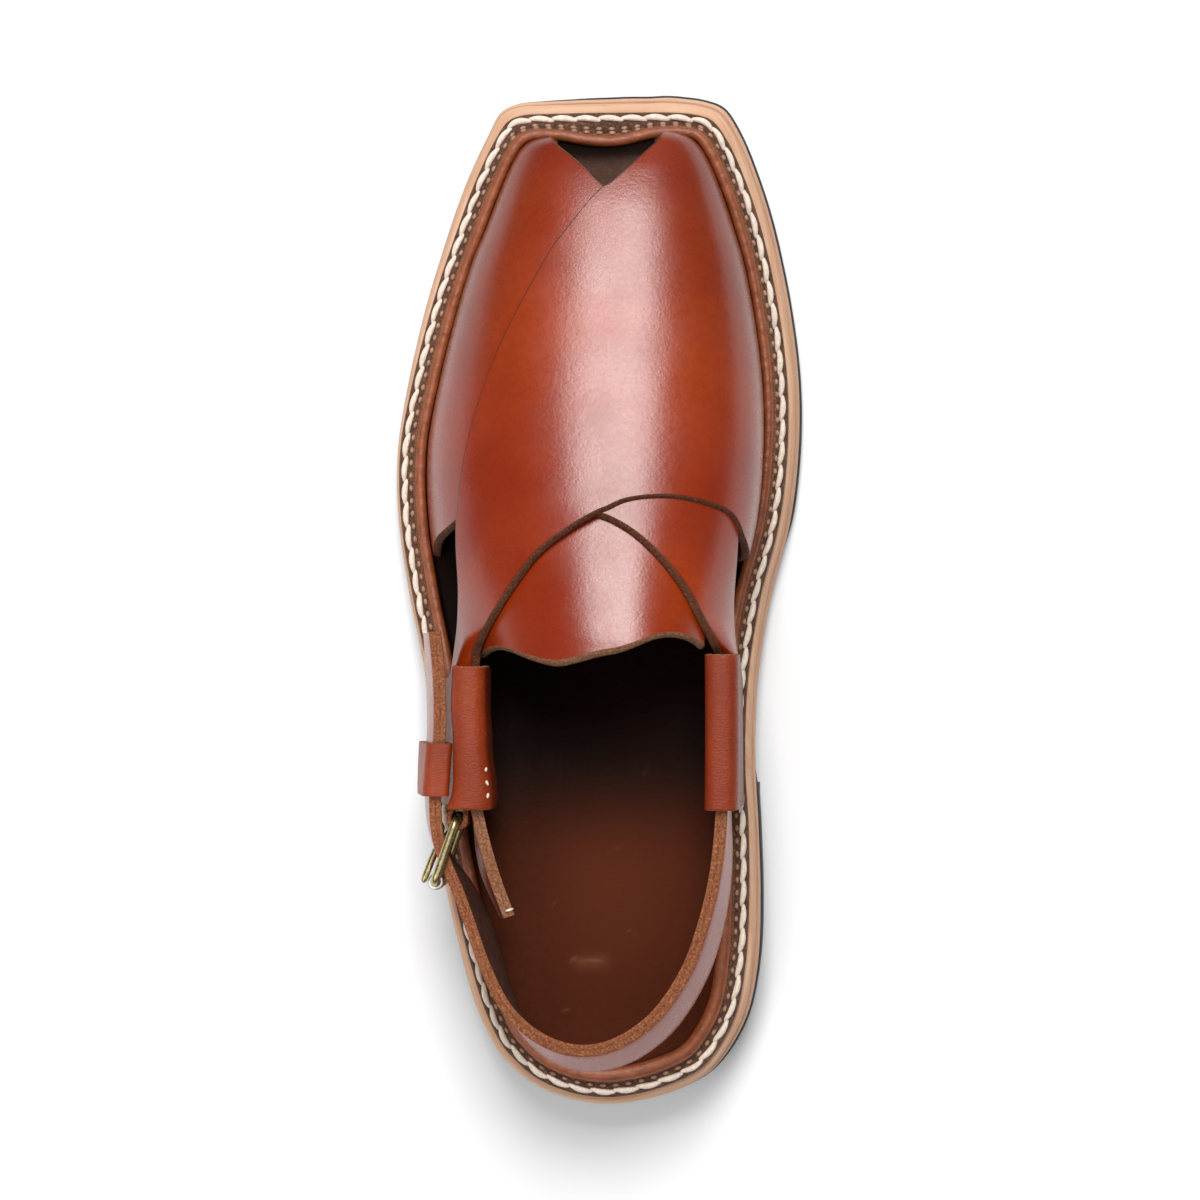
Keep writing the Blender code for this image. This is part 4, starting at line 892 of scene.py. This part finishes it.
def build_thread():
    xy, s = loop_path(1.75)
    count = int(round(s[-1] / 6.8))
    pitch = s[-1] / count
    verts, faces = [], []
    rings_n, sides = 17, 12
    rng = np.random.default_rng(7)
    for i in range(count):
        jit = rng.normal(0, 1, 3)
        u = np.linspace(-0.56, 0.56, rings_n)
        at = (i + u) * pitch + 0.12 * jit[0]
        p = at_length(xy, s, at)
        t = at_length(xy, s, at + 0.3) - at_length(xy, s, at - 0.3)
        t /= np.linalg.norm(t, axis=1, keepdims=True)
        nrm = np.stack([t[:, 1], -t[:, 0]], 1)
        f = np.linspace(0, 1, rings_n)
        shift = -(0.14 + 0.36 * np.sin(pi * f) - 0.70 * f) + 0.04 * jit[1]
        zc = underside(p[:, 1]) + T3 + WELT_T - 0.85 + 0.8 * np.sin(pi * f) ** 0.6
        c = np.column_stack([p + nrm * shift[:, None], zc])
        r = (0.90 + 0.03 * jit[2]) * np.sin(pi * (0.07 + 0.86 * f)) ** 0.5
        v, fc = tube(c, r, sides, False)
        base = i * rings_n * sides
        faces += [tuple(q + base for q in face) for face in fc]
        verts.append(v)
    obj = add_mesh("welt_thread", np.vstack(verts), faces, [CREAM])
    fix_normals(obj)
    done(obj, "leather_dark")
    # the finer brown stitches between thread and bead, two rows across the toe
    verts, faces, base = [], [], 0
    for row_no, (share, lo_y) in enumerate(((0.58, -999), (0.80, 137.0))):
        xy, s = loop_path(lambda r, share=share: 1.7 + share * (r[..., 4] - 1.7 - BEAD_R))
        count = int(round(s[-1] / 3.75))
        pitch = s[-1] / count
        for i in range(count):
            at = (i + 0.5 * row_no + np.linspace(-0.21, 0.21, 7)) * pitch
            p = at_length(xy, s, at)
            if row_no and not (p[3, 1] > 134.0 and -26 < p[3, 0] < 31):
                continue
            f = np.linspace(0, 1, 7)
            zc = underside(p[:, 1]) + T3 + WELT_T - 0.3 + 0.5 * np.sin(pi * f)
            c = np.column_stack([p, zc])
            v, fc = tube(c, 0.56 * np.sin(pi * (0.1 + 0.8 * f)) ** 0.5, 8, False)
            faces += [tuple(q + base for q in face) for face in fc]
            verts.append(v)
            base += len(v)
    obj = add_mesh("welt_small_stitches", np.vstack(verts), faces, [KNOTS])
    fix_normals(obj)
    done(obj, "leather_dark")


def build_insole():
    n, m = 360, 120
    v = np.linspace(0, 1, n)
    lat, med = inset(-1, v, lambda r: r[..., 4] + BEAD_R + 0.1), inset(1, v, lambda r: r[..., 4] + BEAD_R + 0.1)
    w = np.linspace(0, 1, m)
    w = 0.5 - 0.5 * np.cos(pi * w)
    top = lat[:, None] * (1 - w)[None, :, None] + med[:, None] * w[None, :, None]
    x, y = top[..., 0], top[..., 1]
    side = np.minimum(w, 1 - w)[None, :] * np.linalg.norm(med - lat, axis=1)[:, None]
    along = np.minimum(np.clip(144 - 8 - y, 0, 99), np.clip(y + 137.5, 0, 99))
    d = np.minimum(side, along * 1.0)
    dish = -0.8 * smooth(d / 22.0) - 0.6 * np.exp(-((x - 2) ** 2 / 600 + (y + 98) ** 2 / 900)) - 0.5 * np.exp(-((x - 2) ** 2 / 900 + (y - 62) ** 2 / 900))
    edge_drop = -0.35 * (1 - smooth(d / 1.2))
    z = insole_top(y) + dish + edge_drop
    grid = np.stack([x, y, z], -1)
    low = grid.copy()
    low[..., 2] = insole_top(y) - INSOLE_T + 0.1
    # painted shadow under the upper and in a band beneath the toe bead
    painted_shadow = np.maximum(smooth((y + 82) / 40) * smooth((108 - y) / 16), smooth((y - 127.0 + 1.2 * np.cos(x / 9.0)) / 5.0))
    pale = smooth((y - 104) / 12)
    # redder heel patch: partly real colour, partly painted sheen
    redder_heel_and_painted_sheen = 0.75 * np.exp(-((x - 3) ** 2 / 500 + (y + 92) ** 2 / 1500)) + 0.35 * np.exp(-((x - 2) ** 2 / 700 + (y + 60) ** 2 / 900))
    rng = np.random.default_rng(3)
    scuff = np.zeros_like(x)
    for cx, cy, length, turn, width, power in SCUFFS:
        dx, dy = x - cx, y - cy
        a, b = dx * cos(turn) + dy * sin(turn), -dx * sin(turn) + dy * cos(turn)
        scuff = np.maximum(scuff, power * np.exp(-(a / length) ** 4 - ((b - 0.0006 * a * a * length) / width) ** 2))
    verts = np.vstack([grid.reshape(-1, 3), low.reshape(-1, 3)])
    k = n * m
    faces = quads(n, m) + [f[::-1] for f in quads(n, m, start=k)]
    rim_ij = [j for j in range(m)] + [i * m + m - 1 for i in range(1, n)] + [(n - 1) * m + j for j in range(m - 2, -1, -1)] + [i * m for i in range(n - 2, 0, -1)]
    faces += [(b, a, a + k, b + k) for a, b in zip(rim_ij, rim_ij[1:] + rim_ij[:1])]
    obj = add_mesh("insole_fine", verts, faces, [FOOT_MAT], smooth_angle=50,
                   attrs={key: np.concatenate([a.reshape(-1), 0 * a.reshape(-1)]) for key, a in (("redder_heel_and_painted_sheen", redder_heel_and_painted_sheen), ("scuff", scuff), ("painted_shadow", painted_shadow), ("pale", pale))})
    import bmesh
    bm = bmesh.new()
    bm.from_mesh(obj.data)
    bmesh.ops.remove_doubles(bm, verts=bm.verts, dist=2e-5)
    bmesh.ops.recalc_face_normals(bm, faces=bm.faces)
    bm.to_mesh(obj.data)
    bm.free()
    done(obj, "leather_footbed", "insole")


SCUFFS = (  # x, y, half length, turn, half width, strength
    (-1.5, -105.0, 5.5, 0.05, 2.2, 0.13), (-2.0, -104.7, 4.2, 0.03, 0.5, 0.35), (-6.5, -104.2, 1.4, 0.5, 0.6, 0.25), (10.0, -96.0, 2.0, -0.4, 0.25, 0.10),
    (-12.0, -88.0, 1.6, 0.8, 0.25, 0.08), (6.0, -72.0, 2.5, 0.3, 0.3, 0.06), (14.0, -50.0, 1.5, 1.2, 0.3, 0.05), (-9.0, -119.0, 1.2, 0.2, 0.4, 0.15))


# ---------------------------------------------------------------- the upper
def strap_mesh(name, front, back, side_rows, side, raised, bevel, front_kind=1, n=190, m=120):
    grid = patch(front, back, n, m)
    # the outer face stops short of the inner one at the back edge: the cut leans
    w = steps(m)
    span = np.linalg.norm(np.diff(last_point(grid[..., 0], grid[..., 1]), axis=1), axis=-1).sum(1)
    shrink = np.clip(1 - bevel / np.maximum(span, 1), 0.2, 1)
    f, b = grid[:, 0], grid[:, -1]
    outer_grid = f[:, None] + (b - f)[:, None] * (w[None, :, None] * shrink[:, None, None])
    off_in = lift(grid) if raised else np.zeros(grid.shape[:2])
    off_out = (lift(outer_grid) if raised else np.zeros(grid.shape[:2])) + STRAP_T
    inner = run_in(last(grid[..., 0], grid[..., 1], off_in), side_rows, side, STRAP_T)
    outer = run_in(last(outer_grid[..., 0], outer_grid[..., 1], off_out), side_rows, side, 0.15)
    verts, faces, kinds = rounded_sheet(inner, outer, front_kind=front_kind)
    d_feather = np.minimum(outer_grid[..., 1], 1 - outer_grid[..., 1])
    edge = np.zeros(len(verts))
    along = np.linalg.norm(np.diff(outer, axis=1), axis=-1)
    from_front = np.concatenate([np.zeros((n, 1)), np.cumsum(along, 1)], 1)
    from_back = from_front[:, -1:] - from_front
    # painted shade: a dark line along the front edge, a fainter one along the back edge, and darkening where the strap
    # comes down beside the bead
    line = np.maximum(0.9 * (1 - smooth((from_front - 0.12) / 0.4)), 0.5 * (1 - smooth((from_back - 0.1) / 0.5)))
    edge[:n * m] = np.maximum(0.35 * (1 - smooth(d_feather / 0.09)), line).reshape(-1)
    # painted shade, darker towards the toe and down the flanks
    painted_toe_and_flank_shade = np.zeros(len(verts))
    flank = smooth(np.abs(2 * outer_grid[..., 1] - 1) / 0.7)
    painted_toe_and_flank_shade[:n * m] = (0.50 * smooth((outer[..., 1] - 30) / 60) * (0.10 + 0.90 * flank)).reshape(-1)
    obj = add_mesh(name, verts, faces, [LEATHER, EDGE_DARK, FLESH, EDGE_MAT], kinds, attrs={"edge": edge, "painted_toe_and_flank_shade": painted_toe_and_flank_shade})
    fix_normals(obj)
    return obj


def build_upper():
    top = strap_mesh("strap_top", TOP_FRONT, TOP_BACK, QUARTER_LAT, -1, True, 0.9)
    done(top, "leather_brown", "upper")
    done(strap_mesh("strap_low", LOW_FRONT, LOW_BACK, QUARTER_MED, 1, False, 1.1, front_kind=3), "leather_brown")
    for name, rows, side in (("side_outer", QUARTER_LAT, -1), ("side_inner", QUARTER_MED, 1)):
        inner, outer = side_piece(rows, side)
        verts, faces, kinds = rounded_sheet(inner, outer, k=6, bulge=0.3)
        edge = np.zeros(len(verts))
        # painted shadow: the walls darkened between about 14 and 56 mm up
        edge[:outer.shape[0] * outer.shape[1]] = (0.55 * smooth((outer[..., 2] - 14) / 10) * smooth((56 - outer[..., 2]) / 12)).reshape(-1)
        obj = add_mesh(name, verts, faces, [GRAINED, EDGE_MAT, FLESH], kinds, attrs={"edge": edge})
        fix_normals(obj)
        done(obj, "leather_brown")
    grid = patch(TONGUE_FRONT, TONGUE_BACK, 150, 90)
    w = steps(90)
    f, b = grid[:, 0], grid[:, -1]
    outer_grid = f[:, None] + (b - f)[:, None] * (w[None, :, None] * 0.978)
    v, s = grid[..., 0], grid[..., 1]
    low = last(v, s, -GAP - TONGUE_T + 0 * v)
    high = last(outer_grid[..., 0], outer_grid[..., 1], -GAP + 0 * v)
    verts, faces, kinds = rounded_sheet(low, high, bulge=0.6)
    obj = add_mesh("tongue_fine", verts, faces, [LEATHER, EDGE_PALE, FLESH], kinds, attrs={"edge": np.zeros(len(verts))})
    fix_normals(obj)
    done(obj, "leather_brown", "tongue")


# ---------------------------------------------------------------- straps and buckle
def band(rows, n, thick, height, name, slot, *nodes, groove=0.22, edge_mat=None):
    """Doubled strap on edge: outer leather, dark lining, fibrous edges with the joint between the layers."""
    c = spline(rows, n)
    t = np.gradient(c[:, :2], axis=0)
    t /= np.linalg.norm(t, axis=1, keepdims=True)
    side = np.stack([-t[:, 1], t[:, 0]], 1)
    side *= np.sign(((c[:, :2] - np.array([0.0, -55.0])) * side).sum(1).sum())
    lean = c[:, 3]
    drop = np.sqrt(np.maximum(height ** 2 - lean ** 2, 1))
    h = thick / 2
    r = 0.55
    profile = []   # across (-1 inner .. 1 outer side in mm), down share mm, kind
    def add(a, d, kind):
        profile.append((a, d, kind))
    for a in (-h + r, -h * 0.5, -0.18):
        add(a, 0.0, 1)
    add(0.0, groove, 1)
    for a in (0.18, h * 0.5, h - r):
        add(a, 0.0, 1)
    add(h - 0.15, 0.16, 1)
    add(h, r, 0)
    for d in (0.2, 0.4, 0.6, 0.8):
        add(h + 0.12 * sin(pi * d), d * height, 0)
    add(h, height - r, 0)
    add(h - 0.15, height - 0.16, 1)
    for a in (h - r, 0.18):
        add(a, height, 1)
    add(0.0, height - groove, 1)
    for a in (-0.18, -h + r):
        add(a, height, 1)
    add(-h + 0.15, height - 0.16, 2)
    add(-h, height - r, 2)
    for d in (0.7, 0.3):
        add(-h, d * height, 2)
    add(-h, r, 2)
    add(-h + 0.15, 0.16, 1)
    k = len(profile)
    along = np.concatenate([[0], np.cumsum(np.linalg.norm(np.diff(c[:, :2], axis=0), axis=1))])
    ripple = 0.12 * np.sin(along / 7.0) + 0.08 * np.sin(along / 2.9 + 1.3)
    rings = []
    for a, d, kind in profile:
        share = d / height
        xy = c[:, :2] + side * (a + lean * share)[:, None]
        z = c[:, 2] - drop * share + ripple * (1 - 2 * share) * 0.7
        rings.append(np.column_stack([xy, z]))
    grid = np.stack(rings, 1)
    verts = grid.reshape(-1, 3)
    faces = quads(n, k, wrap_cols=True)
    kinds = [max(profile[j][2], 0) for _ in range(n - 1) for j in range(k)]
    faces += [tuple(range(k)), tuple((n - 1) * k + i for i in range(k))[::-1]]
    kinds += [1, 1]
    obj = add_mesh(name, verts, faces, [LEATHER, edge_mat or EDGE_MAT, LINING], kinds, smooth_angle=50, attrs={"edge": np.zeros(len(verts))})
    fix_normals(obj)
    return done(obj, slot, *nodes)




def build_straps():
    band(BACK_STRAP, 520, BACK_T, BACK_H, "back_strap_fine", "leather_brown", "back_strap")
    loose = [(-34.1, -25.6, 57.2, 0.0), (-34.1, -32.0, 57.2, 0.0), (-33.8, -46.0, 57.2, 0.2), (-32.0, -60.0, 57.4, 1.2), (-27.8, -76.0, 57.6, 3.4), (-23.0, -89.5, 57.2, 2.4)]
    band(loose, 220, 3.5, 14.2, "buckle_strap_loose", "leather_edge", "buckle_strap", edge_mat=EDGE_LIGHT)
    # the leg that goes round the buckle's near bar
    ax, ay = BUCKLE_A
    r = WIRE_R + 0.25
    out = []
    for x, y in spline([(-35.4, -44.0), (-36.3, -52.0), (ax - r - 0.8, ay + 1.0)], 14):
        out.append((x, y))
    for i in range(1, 13):
        a = pi * 0.95 + (pi * 1.1) * i / 12
        out.append((ax + (r + 0.8) * cos(a), ay + (r + 0.8) * sin(a)))
    for x, y in spline([(ax + r + 0.8, ay + 1.2), (-35.2, -53.0), (-34.4, -44.0)], 14)[1:]:
        out.append((x, y))
    rows = [(x, y, 57.0, 0.0) for x, y in out]
    band(rows, 160, 1.6, 14.0, "buckle_strap_loop", "leather_edge", groove=0.0)


def build_buckle():
    a, b = np.array(BUCKLE_A), np.array(BUCKLE_B)
    z0, z1 = BUCKLE_Z
    way = (b - a) / np.linalg.norm(b - a)
    length = float(np.linalg.norm(b - a))
    corner = 2.6
    pts = []
    for cu, cz, start in ((corner, z1 - corner, pi), (length - corner, z1 - corner, pi / 2), (length - corner, z0 + corner, 0.0), (corner, z0 + corner, -pi / 2)):
        for i in range(12):
            w = start - (pi / 2) * i / 11
            pts.append((cu + corner * cos(w), cz + corner * sin(w)))
    dense = spline([(p[0], p[1]) for p in pts], 160, closed=True)
    path = [(a[0] + way[0] * u, a[1] + way[1] * u, z) for u, z in dense]
    across = np.array([-way[1], way[0], 0.0])
    v, f = tube(path, WIRE_R, 18, True, up=across)
    obj = add_mesh("buckle_frame_fine", v, f, [BRASS_MAT])
    fix_normals(obj)
    done(obj, "brass_antique", "buckle_frame")
    prof = [(WIRE_R + 0.2, z0 + 3.4), (ROLLER_R - 0.35, z0 + 3.4), (ROLLER_R - 0.05, z0 + 3.65), (ROLLER_R, z0 + 4.2), (ROLLER_R, z1 - 4.2), (ROLLER_R - 0.05, z1 - 3.65), (ROLLER_R - 0.35, z1 - 3.4), (WIRE_R + 0.2, z1 - 3.4)]
    n = 40
    verts = [(b[0] + r * cos(2 * pi * k / n), b[1] + r * sin(2 * pi * k / n), z) for r, z in prof for k in range(n)]
    obj = add_mesh("buckle_roller_fine", verts, quads(len(prof), n, wrap_rows=True, wrap_cols=True), [ROLLER_MAT], smooth_angle=50)
    fix_normals(obj)
    done(obj, "brass_antique", "buckle_roller")
    zp = 50.0
    out = np.array([way[1], -way[0]])
    if out[0] > 0:
        out = -out
    tip = b + out * (ROLLER_R + 1.5) + way * 2.2
    start = a + way * (WIRE_R + GAP + 0.9)
    mid = a + way * 9.0 + out * 3.0
    line = spline([tuple(start) + (zp,), tuple(mid) + (zp,), tuple(tip) + (zp,)], 40)
    radius = np.interp(np.linspace(0, 1, 40), [0, 0.9, 0.97, 1], [1.1, 1.0, 0.8, 0.3])
    v1, f1 = tube(line, radius, 14, False)
    hook = [(a[0] + 2.3 * cos(w), a[1] + 2.3 * sin(w), zp) for w in np.linspace(0, 2 * pi, 40, endpoint=False)]
    v2, f2 = tube(hook, 0.9, 12, True)
    obj = add_mesh("buckle_prong_fine", np.vstack([v1, v2]), f1 + [tuple(q + len(v1) for q in f) for f in f2], [BRASS_MAT])
    fix_normals(obj)
    done(obj, "brass_antique", "buckle_prong")


def build_keeper():
    c = spline(BACK_STRAP, 1600)
    tail = c[(c[:, 0] < -40) & (c[:, 1] > -60) & (c[:, 1] < -38)]
    y0, y1 = -55.5, -40.6
    n, t = 40, 1.7
    outer, inner = [], []
    for y in np.linspace(y0, y1, n):
        r = tail[np.argmin(np.abs(tail[:, 1] - y))]
        x, z, lean = r[0], r[2], r[3]
        loops = []
        for grow in (0.35 + t, 0.35):
            w, hgt, rad = BACK_T / 2 + grow, BACK_H / 2 + grow, 0.5 + 0.8 * grow
            ring_pts = []
            for sx, sz, a0 in ((1, 1, 0), (-1, 1, pi / 2), (-1, -1, pi), (1, -1, 3 * pi / 2)):
                for i in range(8):
                    a = a0 + (pi / 2) * i / 7
                    ring_pts.append((sx * (w - rad) + rad * cos(a), sz * (hgt - rad) + rad * sin(a)))
            zc = z - BACK_H / 2
            loops.append([(x + px - lean * (0.5 - pz / BACK_H), y, zc + pz) for px, pz in ring_pts])
        outer.append(loops[0])
        inner.append(loops[1])
    outer, inner = np.array(outer), np.array(inner)
    k = outer.shape[1]
    verts = np.vstack([outer.reshape(-1, 3), inner.reshape(-1, 3)])
    faces = quads(n, k, wrap_cols=True) + [f[::-1] for f in quads(n, k, wrap_cols=True, start=n * k)]
    kinds = [0] * (len(faces) // 2) + [2] * (len(faces) // 2)
    for row in (0, n - 1):
        for j in range(k):
            q = (row * k + j, row * k + (j + 1) % k, n * k + row * k + (j + 1) % k, n * k + row * k + j)
            faces.append(q)
            kinds.append(1)
    obj = add_mesh("keeper_fine", verts, faces, [GRAINED, EDGE_MAT, FLESH], kinds, smooth_angle=40, attrs={"edge": np.zeros(len(verts))})
    fix_normals(obj)
    done(obj, "leather_brown", "keeper")


SMALL_STITCHES = (  # x, y of the middle, half length, turn in plan
    (-29.2, -47.8, 0.5, 1.5), (-28.9, -51.6, 0.7, 2.0), (-28.7, -55.2, 0.65, 1.4))


def sleeve_height(x, y):
    """Top of the outer side piece's fold over a plan point."""
    path = resample(section_path(side_row(QUARTER_LAT, y), -1, float(welt_top(y)) + 0.5, 24, 32, 8), 90)
    for _ in range(2):
        path[1:-1] = (path[:-2] + 2 * path[1:-1] + path[2:]) / 4
    top = int(np.argmax(path[:, 1]))
    return float(np.interp(x, path[top:, 0], path[top:, 1]))


def build_small_stitches():
    verts, faces, base = [], [], 0
    for x, y, z, half, turn in [(x, y, sleeve_height(x, y), half, turn) for x, y, half, turn in SMALL_STITCHES] + [(-22.9, -87.6, 57.4, 1.1, 0.3)]:
        f = np.linspace(0, 1, 9)
        c = np.column_stack([x + half * cos(turn) * (2 * f - 1), y + half * sin(turn) * (2 * f - 1), z + 0.5 * np.sin(pi * f) - 0.1])
        v, fc = tube(c, 0.40 * np.sin(pi * (0.12 + 0.76 * f)) ** 0.5, 8, False)
        faces += [tuple(q + base for q in face) for face in fc]
        verts.append(v)
        base += len(v)
    obj = add_mesh("small_white_stitches", np.vstack(verts), faces, [CREAM])
    fix_normals(obj)
    done(obj, "leather_edge")


# ---------------------------------------------------------------- room, light and camera
def stage():
    mesh = bpy.data.meshes.new("floor")
    s = 3.0
    mesh.from_pydata([(-s, -s, 0), (s, -s, 0), (s, s, 0), (-s, s, 0)], [], [(0, 1, 2, 3)])
    floor = bpy.data.objects.new("floor", mesh)
    bpy.context.scene.collection.objects.link(floor)
    mat, nt, bsdf = nodes_of("floor_white")
    bsdf.inputs["Base Color"].default_value = (0.95, 0.95, 0.955, 1)
    bsdf.inputs["Roughness"].default_value = 0.9
    mesh.materials.append(mat)
    world = bpy.data.worlds.new("room")
    bpy.context.scene.world = world
    world.use_nodes = True
    world.node_tree.nodes["Background"].inputs[0].default_value = (1, 1, 1, 1)
    world.node_tree.nodes["Background"].inputs[1].default_value = 0.14

    def area(name, at, target, size_x, size_y, radiance):
        light = bpy.data.lights.new(name, "AREA")
        light.shape = "RECTANGLE"
        light.size, light.size_y = size_x, size_y
        light.energy = radiance * pi * size_x * size_y
        obj = bpy.data.objects.new(name, light)
        bpy.context.scene.collection.objects.link(obj)
        obj.location = at
        back = (Vector(at) - Vector(target)).normalized()
        right = Vector((0, 1, 0)).cross(back).normalized()
        obj.rotation_euler = Matrix((right, back.cross(right), back)).transposed().to_euler()
    area("softbox", (0.06, 0.715, 1.145), (0.02, 0.0, 0.03), 0.56, 0.80, 13.2)
    area("overhead", (0.0, -0.4, 1.7), (0.0, -0.05, 0.0), 1.7, 1.5, 0.9)
    area("side_fill", (-0.72, -0.56, 0.92), (0.0, -0.05, 0.03), 0.9, 0.9, 1.9)


def camera():
    cam = bpy.data.cameras.new("camera")
    cam.sensor_width = 36.0
    cam.lens = 111.0
    cam.clip_start, cam.clip_end = 0.05, 20
    obj = bpy.data.objects.new("camera", cam)
    bpy.context.scene.collection.objects.link(obj)
    eye = to_world([65.9, 0.0, 1100.0])
    target = to_world([0.0, 0.0, 12.0])
    obj.location = eye
    ahead = (Vector(target) - Vector(eye)).normalized()
    right = ahead.cross(Vector((0, 1, 0))).normalized()
    up = right.cross(ahead)
    obj.rotation_euler = Matrix((right, up, -ahead)).transposed().to_euler()
    bpy.context.scene.camera = obj


scene = bpy.context.scene
scene.view_settings.view_transform = "Standard"
scene.view_settings.look = "None"
stage()
camera()
build_sole()
build_welt()
build_bead()
build_thread()
build_insole()
build_upper()
build_straps()
build_buckle()
build_keeper()
build_small_stitches()
